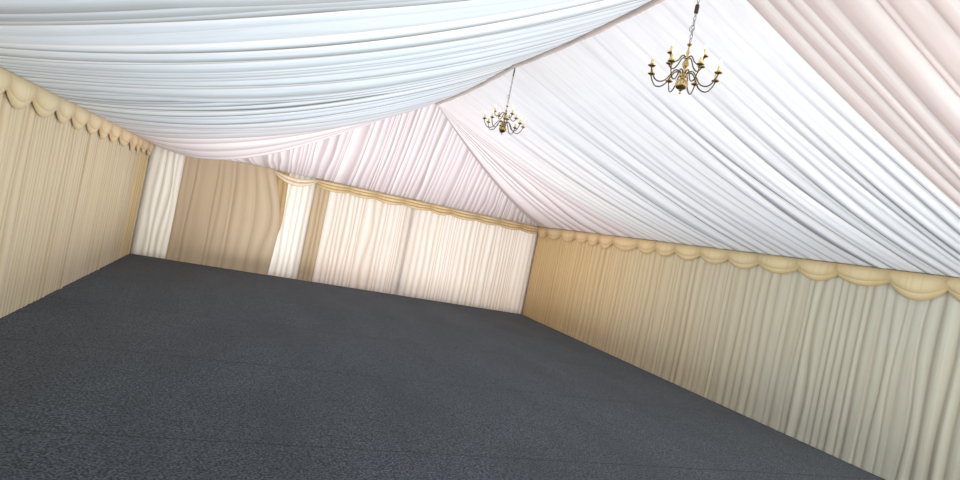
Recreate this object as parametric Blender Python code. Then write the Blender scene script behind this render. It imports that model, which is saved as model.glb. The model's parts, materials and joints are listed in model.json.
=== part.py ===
"""Frame marquee with a hipped roof, pleated linings and two hanging chandeliers.

Metres, +Z up, ground at z = 0, ridge along Y, far end at +Y.
Each named object in the collection is one separate sub-part.
"""

import math

import bmesh
import bpy

GAP = 0.0003

# Frame plan and heights: the hips take the same pitch as the sides
HALF_WIDTH = 4.500
HALF_LENGTH = 9.000
BAY = 3.000
EAVE_Z = 2.400
PITCH_DEG = 18.0
APEX_Y = HALF_LENGTH - HALF_WIDTH
SLOPE = math.tan(math.radians(PITCH_DEG))

# Frame sections, set in from the wall line
LEG_SETBACK = 0.050
LEG_DEPTH = 0.1157
LEG_HALF = 0.030
LEG_OUTER = HALF_WIDTH - LEG_SETBACK
LEG_INNER = LEG_OUTER - LEG_DEPTH
RAFTER_DEPTH = 0.120
BEAM_HALF = 0.030
PLATE_HALF = 0.090
PLATE_THICK = 0.012
RAIL_DROP = 0.0034
RAIL_DEPTH = 0.1163
RAIL_TOP_Z = EAVE_Z - RAIL_DROP
RAIL_FOOT_Z = RAIL_TOP_Z - RAIL_DEPTH
RAIL_INSET = 0.001
PLATE_INSET = 0.002
HIP_DROP = 0.0070
LEG_DROP = 0.010
CORNER_LEG_DROP = 0.012
POST_X = 1.100

# Skins
SKIN = 0.0030
OVERHANG = 0.0023
FLAP_DROP = 0.150
SKIN_DROP = SKIN / math.cos(math.radians(PITCH_DEG))
STEP = 0.0005

# Linings: inside the legs, below the eave rails, with a flatter pitch than the roof
CLOTH = 0.0040
LINING_DROP = 0.130
LINING_PITCH_DEG = 17.4
LINING_HALF_WIDTH = LEG_INNER - CLOTH - GAP
LINING_HALF_LENGTH = LINING_HALF_WIDTH + APEX_Y
LINING_EAVE_Z = EAVE_Z - LINING_DROP
LINING_RISE = LINING_HALF_WIDTH * math.tan(math.radians(LINING_PITCH_DEG))
RIDGE_SLIT = 0.020
SAG_LEFT = 0.300
SAG_RIGHT = 0.095
SAG_BAY = 0.050
SAG_HIP_LEFT = 0.480
SAG_HIP_RIGHT = 0.160
SAG_END = 0.060

# Openings in the end walls, kept clear of the eave, the corners and the posts
WINDOW_SILL = 0.700
HEAD_CLEARANCE = 0.300
CORNER_CLEARANCE = 0.300
POST_CLEARANCE = 0.150
DOOR_CLEARANCE = 0.030
TOOL_REACH = 0.050
WINDOW_HEAD = EAVE_Z - HEAD_CLEARANCE
WINDOW_EDGE = HALF_WIDTH - CORNER_CLEARANCE
DOOR_HEAD = EAVE_Z - HEAD_CLEARANCE
DOOR_HALF = POST_X - LEG_HALF - DOOR_CLEARANCE

# Cloths of the far wall, from the left: sheer, tan curtain, sheer, tan strip over the post, sheer
SHEER_SHOWN = 0.640
CURTAIN_WIDTH = 2.020
STRIP_WIDTH = 0.320
CURTAIN_DROP = 0.012

# Floor
DECK_Z = 0.040
CARPET_Z = 0.048
FLOOR_X = LINING_HALF_WIDTH + CLOTH
FLOOR_Y = LINING_HALF_LENGTH + CLOTH

# Pelmets
PELMET_HANG = 0.015
PELMET_DEPTH = 0.035
SIDE_DROP = 0.260
FAR_DROP = 0.200
NEAR_DROP = 0.140

# Chandeliers
LAMP_FAR_Y = 1.500
LAMP_NEAR_Y = -1.400
LAMP_DROP = 0.777
LAMP_HEIGHT = 0.330
LOWER_ARMS = 8
LOWER_REACH = 0.215
LOWER_TURN_DEG = 30.7
UPPER_ARMS = 4
UPPER_REACH = 0.140
UPPER_TURN_DEG = 8.2
ARM_RADIUS = 0.0045
CHAIN_RADIUS = 0.0050


def clear_scene():
    """Remove whatever the session starts with."""
    for old in list(bpy.data.objects):
        bpy.data.objects.remove(old, do_unlink=True)


clear_scene()

marquee = bpy.data.collections.new("marquee_tent")
cutters = bpy.data.collections.new("cutters")
bpy.context.scene.collection.children.link(marquee)
bpy.context.scene.collection.children.link(cutters)


def material(name, rgb, roughness, metallic=0.0, alpha=1.0):
    """A plain Principled material."""
    mat = bpy.data.materials.new(name)
    mat.use_nodes = True
    shader = mat.node_tree.nodes["Principled BSDF"]
    shader.inputs["Base Color"].default_value = (*rgb, 1.0)
    shader.inputs["Roughness"].default_value = roughness
    shader.inputs["Metallic"].default_value = metallic
    shader.inputs["Alpha"].default_value = alpha
    return mat


# Solids

def from_bmesh(name, bm, mat, home=None):
    """Turn a bmesh into a named object with outward faces."""
    bmesh.ops.recalc_face_normals(bm, faces=bm.faces)
    mesh = bpy.data.meshes.new(name)
    bm.to_mesh(mesh)
    bm.free()
    obj = bpy.data.objects.new(name, mesh)
    (home or marquee).objects.link(obj)
    if mat is not None:
        obj.data.materials.append(mat)
    return obj


def box(name, low, high, mat, home=None):
    """A box between two corners."""
    bm = bmesh.new()
    bmesh.ops.create_cube(bm, size=1.0)
    for vert in bm.verts:
        for axis in range(3):
            middle = (low[axis] + high[axis]) / 2
            vert.co[axis] = middle + vert.co[axis] * (high[axis] - low[axis])
    return from_bmesh(name, bm, mat, home)


def prism(name, outline, push, mat, home=None):
    """A flat outline pushed along a vector."""
    bm = bmesh.new()
    face = bm.faces.new([bm.verts.new(point) for point in outline])
    grown = bmesh.ops.extrude_face_region(bm, geom=[face])
    moved = [item for item in grown["geom"] if isinstance(item, bmesh.types.BMVert)]
    bmesh.ops.translate(bm, verts=moved, vec=push)
    return from_bmesh(name, bm, mat, home)


def lathe(name, profile, sides, centre, mat, home=None):
    """A profile of (radius, height) turned about a vertical axis, its ends on the axis."""
    bm = bmesh.new()
    verts = [bm.verts.new((radius, 0.0, height)) for radius, height in profile]
    edges = [bm.edges.new(pair) for pair in zip(verts[:-1], verts[1:])]
    bmesh.ops.spin(
        bm,
        geom=verts + edges,
        cent=(0, 0, 0),
        axis=(0, 0, 1),
        angle=2 * math.pi,
        steps=sides,
    )
    bmesh.ops.remove_doubles(bm, verts=bm.verts, dist=0.00005)
    bmesh.ops.translate(bm, verts=bm.verts, vec=centre)
    return from_bmesh(name, bm, mat, home)


def tube(name, points, radius, mat, home=None):
    """A round rod along a smooth path, with closed ends."""
    curve = bpy.data.curves.new(name, "CURVE")
    curve.dimensions = "3D"
    curve.resolution_u = 2
    curve.bevel_depth = radius
    curve.bevel_resolution = 1
    curve.use_fill_caps = True
    spline = curve.splines.new("BEZIER")
    spline.bezier_points.add(len(points) - 1)
    for handle, point in zip(spline.bezier_points, points):
        handle.co = point
        handle.handle_left_type = "AUTO"
        handle.handle_right_type = "AUTO"
    draft = bpy.data.objects.new(name + "_path", curve)
    (home or marquee).objects.link(draft)
    bpy.context.view_layer.update()
    baked = draft.evaluated_get(bpy.context.evaluated_depsgraph_get())
    mesh = bpy.data.meshes.new_from_object(baked)
    bpy.data.objects.remove(draft, do_unlink=True)
    bm = bmesh.new()
    bm.from_mesh(mesh)
    bmesh.ops.remove_doubles(bm, verts=bm.verts, dist=0.00005)
    return from_bmesh(name, bm, mat, home)


def apply_modifiers(obj):
    """Bake the modifiers of an object into its mesh."""
    bpy.context.view_layer.update()
    baked = obj.evaluated_get(bpy.context.evaluated_depsgraph_get())
    mesh = bpy.data.meshes.new_from_object(baked)
    obj.modifiers.clear()
    obj.data = mesh


def combine(target, others, operation):
    """Exact boolean of the target with each other object in turn."""
    for other in others:
        mod = target.modifiers.new("cut", "BOOLEAN")
        mod.operation = operation
        mod.solver = "EXACT"
        mod.object = other
        apply_modifiers(target)
        if operation == "UNION":
            bpy.data.objects.remove(other, do_unlink=True)
        else:
            for home in list(other.users_collection):
                home.objects.unlink(other)
            cutters.objects.link(other)
            other.hide_render = True
            other.display_type = "WIRE"
    return target


def smooth(obj, angle_deg=40.0):
    """Round pieces shade smooth up to an edge angle."""
    obj.data.shade_smooth()
    obj.data.set_sharp_from_angle(angle=math.radians(angle_deg))
    return obj


# Materials

white_skin = material("roof_pvc", (0.86, 0.87, 0.88), 0.45)
wall_skin = material("wall_pvc", (0.84, 0.85, 0.86), 0.45)
clear_pane = material("clear_pane", (0.85, 0.90, 0.92), 0.10, alpha=0.35)
alloy = material("frame_alloy", (0.62, 0.63, 0.65), 0.35, metallic=1.0)
ceiling_cloth = material("ceiling_cloth", (0.86, 0.88, 0.92), 0.70)
hip_cloth = material("hip_cloth", (0.88, 0.80, 0.80), 0.70)
ivory_cloth = material("ivory_cloth", (0.74, 0.68, 0.56), 0.75)
tan_cloth = material("tan_cloth", (0.58, 0.42, 0.25), 0.75)
sheer_cloth = material("sheer_cloth", (0.93, 0.86, 0.74), 0.75)
gold_cloth = material("gold_cloth", (0.50, 0.36, 0.17), 0.60)
carpet_pile = material("carpet_pile", (0.055, 0.062, 0.075), 0.95)
deck_board = material("deck_board", (0.36, 0.25, 0.15), 0.70)
brass = material("polished_brass", (0.80, 0.58, 0.22), 0.18, metallic=1.0)


# Floor

box("floor_deck", (-FLOOR_X, -FLOOR_Y, 0.0), (FLOOR_X, FLOOR_Y, DECK_Z), deck_board)
box("carpet", (-FLOOR_X, -FLOOR_Y, DECK_Z + GAP), (FLOOR_X, FLOOR_Y, CARPET_Z), carpet_pile)


# Frame

def roof_top(inset):
    """Height of the roof skin's outer face at a plan distance in from the wall line."""
    return EAVE_Z + SLOPE * inset


def rafter_top(inset):
    """Height of a rafter's upper face, just under the roof skin."""
    return roof_top(inset) - SKIN_DROP - GAP


def portal(name, y):
    """Two legs and two rafters in one frame, standing on base plates."""
    knee = HALF_WIDTH - LEG_OUTER
    inner = HALF_WIDTH - LEG_INNER
    top = rafter_top(HALF_WIDTH)
    outline = [
        (-LEG_OUTER, y - LEG_HALF, 0.0),
        (-LEG_OUTER, y - LEG_HALF, rafter_top(knee)),
        (0.0, y - LEG_HALF, top),
        (LEG_OUTER, y - LEG_HALF, rafter_top(knee)),
        (LEG_OUTER, y - LEG_HALF, 0.0),
        (LEG_INNER, y - LEG_HALF, 0.0),
        (LEG_INNER, y - LEG_HALF, rafter_top(inner) - RAFTER_DEPTH),
        (0.0, y - LEG_HALF, top - RAFTER_DEPTH),
        (-LEG_INNER, y - LEG_HALF, rafter_top(inner) - RAFTER_DEPTH),
        (-LEG_INNER, y - LEG_HALF, 0.0),
    ]
    frame = prism(name, outline, (0, 2 * LEG_HALF, 0), alloy)
    plates = []
    for side in (-1, 1):
        near, far = sorted((side * (LEG_INNER + PLATE_INSET), side * (LEG_OUTER - PLATE_INSET)))
        low = (near, y - PLATE_HALF, 0.0)
        high = (far, y + PLATE_HALF, PLATE_THICK)
        plates.append(box(name + "_plate", low, high, alloy))
    return combine(frame, plates, "UNION")


CROWN_Y = APEX_Y - LEG_HALF
for number, y in enumerate((-CROWN_Y, -BAY / 2, BAY / 2, CROWN_Y), start=1):
    portal("portal_%d" % number, y)

BEAM_FOOT_Z = LINING_EAVE_Z + LINING_RISE * (1 - RIDGE_SLIT / LINING_HALF_WIDTH) + CLOTH + 2 * STEP
BEAM_TOP_Z = rafter_top(HALF_WIDTH - BEAM_HALF) - RAFTER_DEPTH - GAP
box("ridge_beam", (-BEAM_HALF, -APEX_Y, BEAM_FOOT_Z), (BEAM_HALF, APEX_Y, BEAM_TOP_Z), alloy)


def corner_frame(name, side, end):
    """Corner leg with the hip rafter that climbs from it to the ridge end."""
    reach = LEG_HALF * math.sqrt(2)
    face = APEX_Y + GAP
    plan = [
        (GAP, face),
        (GAP + reach, face),
        (LEG_OUTER, LEG_OUTER + APEX_Y - reach),
        (LEG_OUTER, LEG_OUTER + APEX_Y),
        (LEG_OUTER - reach, LEG_OUTER + APEX_Y),
        (GAP, face + reach),
    ]
    outline = []
    for x, y in plan:
        inset = ((HALF_WIDTH - x) + (HALF_LENGTH - y)) / 2
        outline.append((side * x, end * y, rafter_top(inset) - HIP_DROP))
    rafter = prism(name, outline, (0, 0, -RAFTER_DEPTH), alloy)
    x0, x1 = sorted((side * LEG_INNER, side * LEG_OUTER))
    y0, y1 = sorted((end * (LEG_INNER + APEX_Y), end * (LEG_OUTER + APEX_Y)))
    leg = box(name + "_leg", (x0, y0, 0.0), (x1, y1, rafter_top(LEG_SETBACK) - CORNER_LEG_DROP), alloy)
    return combine(rafter, [leg], "UNION")


def end_post(name, side, end):
    """End-wall post with the jack rafter that runs from it up to the hip rafter."""
    reach = LEG_HALF * math.sqrt(2) + 2 * GAP
    low = POST_X - LEG_HALF
    high = POST_X + LEG_HALF
    foot = LEG_OUTER + APEX_Y
    plan = [
        (low, APEX_Y + low + reach),
        (high, APEX_Y + high + reach),
        (high, foot),
        (low, foot),
    ]
    outline = [(side * x, end * y, rafter_top(HALF_LENGTH - y)) for x, y in plan]
    rafter = prism(name, outline, (0, 0, -RAFTER_DEPTH), alloy)
    x0, x1 = sorted((side * low, side * high))
    y0, y1 = sorted((end * (LEG_INNER + APEX_Y), end * foot))
    leg = box(name + "_leg", (x0, y0, 0.0), (x1, y1, rafter_top(LEG_SETBACK) - LEG_DROP), alloy)
    return combine(rafter, [leg], "UNION")


for end, place in ((1, "far"), (-1, "near")):
    for side, hand in ((-1, "left"), (1, "right")):
        corner_frame("corner_frame_%s_%s" % (place, hand), side, end)
        end_post("end_post_%s_%s" % (place, hand), side, end)

RAIL_IN = LEG_OUTER + GAP
RAIL_OUT = HALF_WIDTH - RAIL_INSET
for side, hand in ((-1, "left"), (1, "right")):
    x0, x1 = sorted((side * RAIL_IN, side * RAIL_OUT))
    span = RAIL_OUT + APEX_Y
    box("eave_rail_" + hand, (x0, -span, RAIL_FOOT_Z), (x1, span, RAIL_TOP_Z), alloy)
for end, place in ((1, "far"), (-1, "near")):
    y0, y1 = sorted((end * (RAIL_IN + APEX_Y), end * (RAIL_OUT + APEX_Y)))
    box("eave_rail_" + place, (-LEG_OUTER, y0, RAIL_FOOT_Z), (LEG_OUTER, y1, RAIL_TOP_Z), alloy)


# Roof skins with their eave flaps

def roof_skin(name, plan, flap):
    """A slope of the roof laid over its plan outline, with the flap hanging at its eave."""
    outline = []
    for x, y in plan:
        inset = min(HALF_WIDTH - abs(x), HALF_LENGTH - abs(y))
        outline.append((x, y, roof_top(inset)))
    skin = prism(name, outline, (0, 0, -SKIN_DROP), white_skin)
    low, high = flap
    hem = box(name + "_flap", low, high, white_skin)
    return combine(skin, [hem], "UNION")


EDGE_X = HALF_WIDTH + OVERHANG
EDGE_Y = HALF_LENGTH + OVERHANG
FLAP_TOP = roof_top(-OVERHANG) - SKIN_DROP / 2
FLAP_FOOT = EAVE_Z - FLAP_DROP
for side, hand in ((-1, "left"), (1, "right")):
    slope = [
        (side * EDGE_X, -EDGE_Y + STEP),
        (side * EDGE_X, EDGE_Y - STEP),
        (side * STEP / 2, APEX_Y - STEP / 2),
        (side * STEP / 2, -APEX_Y + STEP / 2),
    ]
    x0, x1 = sorted((side * (EDGE_X - SKIN), side * EDGE_X))
    reach = EDGE_Y - SKIN - STEP
    roof_skin("roof_skin_" + hand, slope, ((x0, -reach, FLAP_FOOT), (x1, reach, FLAP_TOP)))
for end, place in ((1, "far"), (-1, "near")):
    slope = [(-EDGE_X, end * EDGE_Y), (EDGE_X, end * EDGE_Y), (0.0, end * APEX_Y)]
    y0, y1 = sorted((end * (EDGE_Y - SKIN), end * EDGE_Y))
    reach = EDGE_X - SKIN - STEP
    roof_skin("roof_skin_" + place, slope, ((-reach, y0, FLAP_FOOT), (reach, y1, FLAP_TOP)))


# Outer walls

WALL_IN = LEG_OUTER + GAP
WALL_TOP = RAIL_FOOT_Z - GAP
for side, hand in ((-1, "left"), (1, "right")):
    x0, x1 = sorted((side * WALL_IN, side * (WALL_IN + SKIN)))
    span = WALL_IN + SKIN + APEX_Y
    box("side_wall_" + hand, (x0, -span, 0.0), (x1, span, WALL_TOP), wall_skin)


def end_wall(name, end, holes):
    """An end wall between the corners with its openings cut through."""
    y0, y1 = sorted((end * (WALL_IN + APEX_Y), end * (WALL_IN + SKIN + APEX_Y)))
    wall = box(name, (-LEG_OUTER, y0, 0.0), (LEG_OUTER, y1, WALL_TOP), wall_skin)
    tools = []
    for x0, x1, z0, z1 in holes:
        tools.append(box(name + "_hole", (x0, y0 - TOOL_REACH, z0), (x1, y1 + TOOL_REACH, z1), None, cutters))
    return combine(wall, tools, "DIFFERENCE")


def pane(name, end, x0, x1):
    """A clear pane flush in its opening."""
    y0, y1 = sorted((end * (WALL_IN + APEX_Y), end * (WALL_IN + SKIN + APEX_Y)))
    low = (x0 + GAP, y0, WINDOW_SILL + GAP)
    high = (x1 - GAP, y1, WINDOW_HEAD - GAP)
    return box(name, low, high, clear_pane)


BAY_EDGE = POST_X + POST_CLEARANCE
MID_EDGE = POST_X - POST_CLEARANCE
far_windows = {
    "far_window_left": (-WINDOW_EDGE, -BAY_EDGE),
    "far_window_middle": (-MID_EDGE, MID_EDGE),
    "far_window_right": (BAY_EDGE, WINDOW_EDGE),
}
near_windows = {
    "near_window_left": (-WINDOW_EDGE, -BAY_EDGE),
    "near_window_right": (BAY_EDGE, WINDOW_EDGE),
}
end_wall("far_wall", 1, [(x0, x1, WINDOW_SILL, WINDOW_HEAD) for x0, x1 in far_windows.values()])
doorway = (-DOOR_HALF, DOOR_HALF, -TOOL_REACH, DOOR_HEAD)
near_holes = [(x0, x1, WINDOW_SILL, WINDOW_HEAD) for x0, x1 in near_windows.values()]
end_wall("near_wall", -1, near_holes + [doorway])
for name, (x0, x1) in far_windows.items():
    pane(name, 1, x0, x1)
for name, (x0, x1) in near_windows.items():
    pane(name, -1, x0, x1)


# Ceiling linings

def lining_height(part_way, sag):
    """Lining height at a fraction of the way from wall to ridge, less its sag."""
    return LINING_EAVE_Z + LINING_RISE * part_way - 4 * sag * part_way * (1 - part_way)


def ease(value):
    """Smooth step from 0 to 1."""
    value = min(max(value, 0.0), 1.0)
    return value * value * (3 - 2 * value)


def lining_sheet(name, across, along, place, mat):
    """A grid of cloth put in place by a rule, then given its thickness upwards."""
    bm = bmesh.new()
    bmesh.ops.create_grid(bm, x_segments=across, y_segments=along, size=1.0)
    for vert in bm.verts:
        vert.co = place((vert.co.x + 1) / 2, vert.co.y)
    bmesh.ops.recalc_face_normals(bm, faces=bm.faces)
    if sum(face.normal.z for face in bm.faces) < 0:
        bmesh.ops.reverse_faces(bm, faces=bm.faces)
    lower = list(bm.faces)
    grown = bmesh.ops.extrude_face_region(bm, geom=lower, use_keep_orig=True)
    moved = [item for item in grown["geom"] if isinstance(item, bmesh.types.BMVert)]
    bmesh.ops.translate(bm, verts=moved, vec=(0, 0, CLOTH))
    return smooth(from_bmesh(name, bm, mat), 60.0)


BAY_STEPS = 4
HIP_STEPS = 5
SIDE_STEPS = 3 * BAY_STEPS + 2 * HIP_STEPS
END_STEPS = 12
CLIMB_STEPS = 10


def side_lining(name, side, sag, hip_sag):
    """A long slope: three bays that belly between the frames, then hips that fan from the ridge ends.

    The columns of the grid lie on the frames. In a bay they run straight up to the
    ridge, and in a hip they close on the ridge end while the sag turns into the hip's.
    """
    def place(part_way, along):
        inset = part_way * (LINING_HALF_WIDTH - RIDGE_SLIT)
        fraction = inset / LINING_HALF_WIDTH
        column = (along + 1) / 2 * SIDE_STEPS - HIP_STEPS
        past = max(-column, column - 3 * BAY_STEPS, 0) / HIP_STEPS
        if past > 0:
            edge = -1 if column < 0 else 1
            y = edge * (APEX_Y + past * ((LINING_HALF_LENGTH - APEX_Y) * (1 - fraction) - STEP))
            depth = sag + (hip_sag - sag) * ease(past)
        else:
            y = -APEX_Y + column / (3 * BAY_STEPS) * 2 * APEX_Y
            bay_part = column / BAY_STEPS % 1
            depth = sag + SAG_BAY * 4 * bay_part * (1 - bay_part)
        return (side * (LINING_HALF_WIDTH - inset), y, lining_height(fraction, depth))
    return lining_sheet(name, CLIMB_STEPS, SIDE_STEPS, place, ceiling_cloth)


def end_lining(name, end):
    """A hip end: cloth that climbs straight in from the end wall to the sagging hip lines."""
    def place(part_way, along):
        inset = part_way * (LINING_HALF_WIDTH - RIDGE_SLIT)
        x = along * (LINING_HALF_WIDTH - inset)
        share = (LINING_HALF_WIDTH - abs(x)) / LINING_HALF_WIDTH
        hip_sag = SAG_HIP_LEFT if x < 0 else SAG_HIP_RIGHT
        climb = lining_height(share, hip_sag) - LINING_EAVE_Z
        part = inset / (LINING_HALF_WIDTH * share) if inset > 0 else 0.0
        own = SAG_END * share ** 1.3
        height = LINING_EAVE_Z + climb * part - 4 * own * part * (1 - part)
        return (x, end * (LINING_HALF_LENGTH - inset), height)
    return lining_sheet(name, CLIMB_STEPS, END_STEPS, place, hip_cloth)


side_lining("ceiling_lining_left", -1, SAG_LEFT, SAG_HIP_LEFT)
side_lining("ceiling_lining_right", 1, SAG_RIGHT, SAG_HIP_RIGHT)
end_lining("ceiling_lining_far", 1)
end_lining("ceiling_lining_near", -1)


# Wall linings and curtains

HEM_Z = CARPET_Z + GAP
HEAD_Z = LINING_EAVE_Z - GAP
for side, hand in ((-1, "left"), (1, "right")):
    x0, x1 = sorted((side * LINING_HALF_WIDTH, side * (LINING_HALF_WIDTH + CLOTH)))
    span = LINING_HALF_LENGTH - GAP
    box("wall_lining_" + hand, (x0, -span, HEM_Z), (x1, span, HEAD_Z), ivory_cloth)

LINE_Y0 = LINING_HALF_LENGTH
LINE_Y1 = LINING_HALF_LENGTH + CLOTH
LINE_X = LINING_HALF_WIDTH - GAP


def far_cloth(name, x0, x1, front, mat, head=HEAD_Z):
    """A hanging cloth on the far wall, a number of cloths in front of the wall line."""
    shift = front * (CLOTH + GAP)
    return box(name, (x0, LINE_Y0 - shift, HEM_Z), (x1, LINE_Y1 - shift, head), mat)


CURTAIN_LEFT = -LINING_HALF_WIDTH + SHEER_SHOWN
CURTAIN_RIGHT = CURTAIN_LEFT + CURTAIN_WIDTH
STRIP_LEFT = -POST_X - LEG_HALF
STRIP_RIGHT = STRIP_LEFT + STRIP_WIDTH
far_cloth("far_sheer_left", -FLOOR_X + GAP, STRIP_LEFT - GAP, 0, sheer_cloth)
far_cloth("far_post_drape", STRIP_LEFT, STRIP_RIGHT, 0, tan_cloth)
far_cloth("far_sheer_right", STRIP_RIGHT + GAP, FLOOR_X - GAP, 0, sheer_cloth)
far_cloth("far_curtain_tan", CURTAIN_LEFT, CURTAIN_RIGHT, 1, tan_cloth, HEAD_Z - CURTAIN_DROP)

near_lining = box(
    "wall_lining_near",
    (-FLOOR_X + GAP, -LINE_Y1, HEM_Z),
    (FLOOR_X - GAP, -LINE_Y0, HEAD_Z),
    ivory_cloth,
)
door_tool = box(
    "near_lining_hole",
    (-DOOR_HALF, -LINE_Y1 - TOOL_REACH, -TOOL_REACH),
    (DOOR_HALF, -LINE_Y0 + TOOL_REACH, DOOR_HEAD),
    None,
    cutters,
)
combine(near_lining, [door_tool], "DIFFERENCE")


# Pelmets

PELMET_TOP = LINING_EAVE_Z - PELMET_HANG
for side, hand in ((-1, "left"), (1, "right")):
    face = LINING_HALF_WIDTH - GAP
    x0, x1 = sorted((side * (face - PELMET_DEPTH), side * face))
    span = LINING_HALF_LENGTH - CLOTH - 2 * GAP
    box("pelmet_" + hand, (x0, -span, PELMET_TOP - SIDE_DROP), (x1, span, PELMET_TOP), ivory_cloth)
inner = LINING_HALF_WIDTH - PELMET_DEPTH - 2 * GAP
front = LINING_HALF_LENGTH - CLOTH - 2 * GAP
far_low = (CURTAIN_RIGHT + GAP, front - PELMET_DEPTH, PELMET_TOP - FAR_DROP)
box("pelmet_far", far_low, (inner, front + CLOTH, PELMET_TOP), gold_cloth)
near_low = (-inner, -front - CLOTH, PELMET_TOP - NEAR_DROP)
box("pelmet_near", near_low, (inner, -front + PELMET_DEPTH, PELMET_TOP), ivory_cloth)


# Chandeliers

BODY_PROFILE = [
    (0.000, 0.000),
    (0.007, 0.005),
    (0.006, 0.020),
    (0.013, 0.028),
    (0.034, 0.040),
    (0.041, 0.062),
    (0.033, 0.084),
    (0.013, 0.098),
    (0.024, 0.112),
    (0.026, 0.126),
    (0.011, 0.142),
    (0.009, 0.158),
    (0.020, 0.186),
    (0.021, 0.200),
    (0.010, 0.222),
    (0.014, 0.236),
    (0.007, 0.262),
    (0.006, 0.300),
    (0.014, 0.322),
    (CHAIN_RADIUS, LAMP_HEIGHT),
]
CUP_PROFILE = [
    (0.000, -0.014),
    (0.009, -0.010),
    (0.025, 0.000),
    (0.025, 0.004),
    (0.010, 0.006),
    (0.010, 0.044),
    (0.006, 0.048),
    (0.009, 0.062),
    (0.000, 0.086),
]
LOWER_ARM = [
    (0.012, 0.126),
    (0.062, 0.140),
    (0.100, 0.080),
    (0.150, 0.050),
    (0.196, 0.080),
    (LOWER_REACH, 0.132),
]
UPPER_ARM = [
    (0.008, 0.222),
    (0.048, 0.228),
    (0.088, 0.180),
    (0.124, 0.188),
    (UPPER_REACH, 0.218),
]


def arm(name, path, turn, foot):
    """A curved arm with its drip pan and candle, turned about the stem."""
    points = []
    for reach, height in path:
        points.append((reach * math.cos(turn), foot[1] + reach * math.sin(turn), foot[2] + height))
    rod = tube(name, points, ARM_RADIUS, brass)
    cup = lathe(name + "_cup", CUP_PROFILE, 8, points[-1], brass)
    return combine(rod, [cup], "UNION")


def chandelier(name, y):
    """A turned stem with two tiers of arms, hung by its chain from the ridge beam."""
    foot = (0.0, y, BEAM_FOOT_Z - LAMP_DROP)
    chain_top = LAMP_DROP - GAP
    profile = BODY_PROFILE + [(CHAIN_RADIUS, chain_top), (0.000, chain_top)]
    body = lathe(name, profile, 12, foot, brass)
    arms = []
    for tier, path, count, first in (
        ("lower", LOWER_ARM, LOWER_ARMS, LOWER_TURN_DEG),
        ("upper", UPPER_ARM, UPPER_ARMS, UPPER_TURN_DEG),
    ):
        for number in range(count):
            turn = math.radians(first + 360 / count * number)
            arms.append(arm("%s_%s_%d" % (name, tier, number), path, turn, foot))
    return smooth(combine(body, arms, "UNION"))


chandelier("chandelier_far", LAMP_FAR_Y)
chandelier("chandelier_near", LAMP_NEAR_Y)
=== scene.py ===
"""Dressed frame marquee: pleated linings, swags, sheers, chandeliers, skins and carpet.

Metres, +Z up, ridge along Y, the curtained far end at +Y, the camera inside.
"""

import json
import math

import bmesh
import bpy
import numpy as np
from mathutils import Matrix, Vector


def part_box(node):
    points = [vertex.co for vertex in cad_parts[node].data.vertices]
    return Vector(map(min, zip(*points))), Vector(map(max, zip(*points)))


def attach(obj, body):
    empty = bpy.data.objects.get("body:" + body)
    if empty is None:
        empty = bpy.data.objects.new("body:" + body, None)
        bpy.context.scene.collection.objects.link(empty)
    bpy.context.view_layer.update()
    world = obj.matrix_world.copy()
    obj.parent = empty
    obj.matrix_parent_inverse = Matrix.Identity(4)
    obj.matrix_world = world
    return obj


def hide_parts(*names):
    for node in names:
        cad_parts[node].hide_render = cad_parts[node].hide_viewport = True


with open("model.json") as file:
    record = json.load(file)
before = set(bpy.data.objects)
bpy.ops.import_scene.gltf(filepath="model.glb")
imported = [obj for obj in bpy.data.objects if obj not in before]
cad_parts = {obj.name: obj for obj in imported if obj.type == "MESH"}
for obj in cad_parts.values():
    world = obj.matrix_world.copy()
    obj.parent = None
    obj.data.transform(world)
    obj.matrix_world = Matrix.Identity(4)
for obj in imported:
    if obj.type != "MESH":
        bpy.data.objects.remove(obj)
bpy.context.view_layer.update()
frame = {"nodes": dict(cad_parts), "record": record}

# Lining frame, as the CAD model has it
HALF_WIDTH = 4.330
HALF_LENGTH = 8.830
EAVE_Z = 2.270
RISE = 1.357
APEX_Y = 4.500
BAY = 3.000
SLIT = 0.009
CARPET_Z = 0.048
FRAME_PLACES = [number * BAY - APEX_Y for number in range(4)]
POST_X = 1.100
DOOR_HEAD = 2.100
DOOR_HALF = 1.040

# Sags of the seams and hips, left and right of the ridge
SEAM_SAG = {-1: 0.300, 1: 0.095}
HIP_SAG = {-1: (0.680, 0.220, 0.240), 1: (0.160, 0.0, 0.0)}
BAY_SAG = 0.050
RIDGE_SAG = 0.040
END_SAG = 0.060

# Drift of the left slope's folds towards the far end, from ridge to eave
DRIFT = 1.980
DRIFT_REACH = 0.425

# Scatter of the folds' leaning, and how many creases share their slack
LINING_LEAN = 0.25
SLACK_REACH = 3

# Eye point and aim of the photograph
EYE = (-2.354, -4.548, 1.710)
FOCAL_PX = 598.9
YAW_DEG = 21.25
PITCH_DEG = -0.21
ROLL_DEG = 11.41

# The way up, and how close the points of one metal piece merge
UP = np.array([0.0, 0.0, 1.0])
MERGE = 0.00002


# Meshes from whole arrays

def quads_of(rows, cols, wrap_rows=False, wrap_cols=False):
    """Corner numbers of the quads of a grid, joined round where it wraps."""
    index = np.arange(rows * cols).reshape(rows, cols)
    if wrap_rows:
        index = np.concatenate([index, index[:1]], axis=0)
    if wrap_cols:
        index = np.concatenate([index, index[:, :1]], axis=1)
    corners = [index[:-1, :-1], index[:-1, 1:], index[1:, 1:], index[1:, :-1]]
    return np.stack(corners, axis=-1).reshape(-1, 4)


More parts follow.
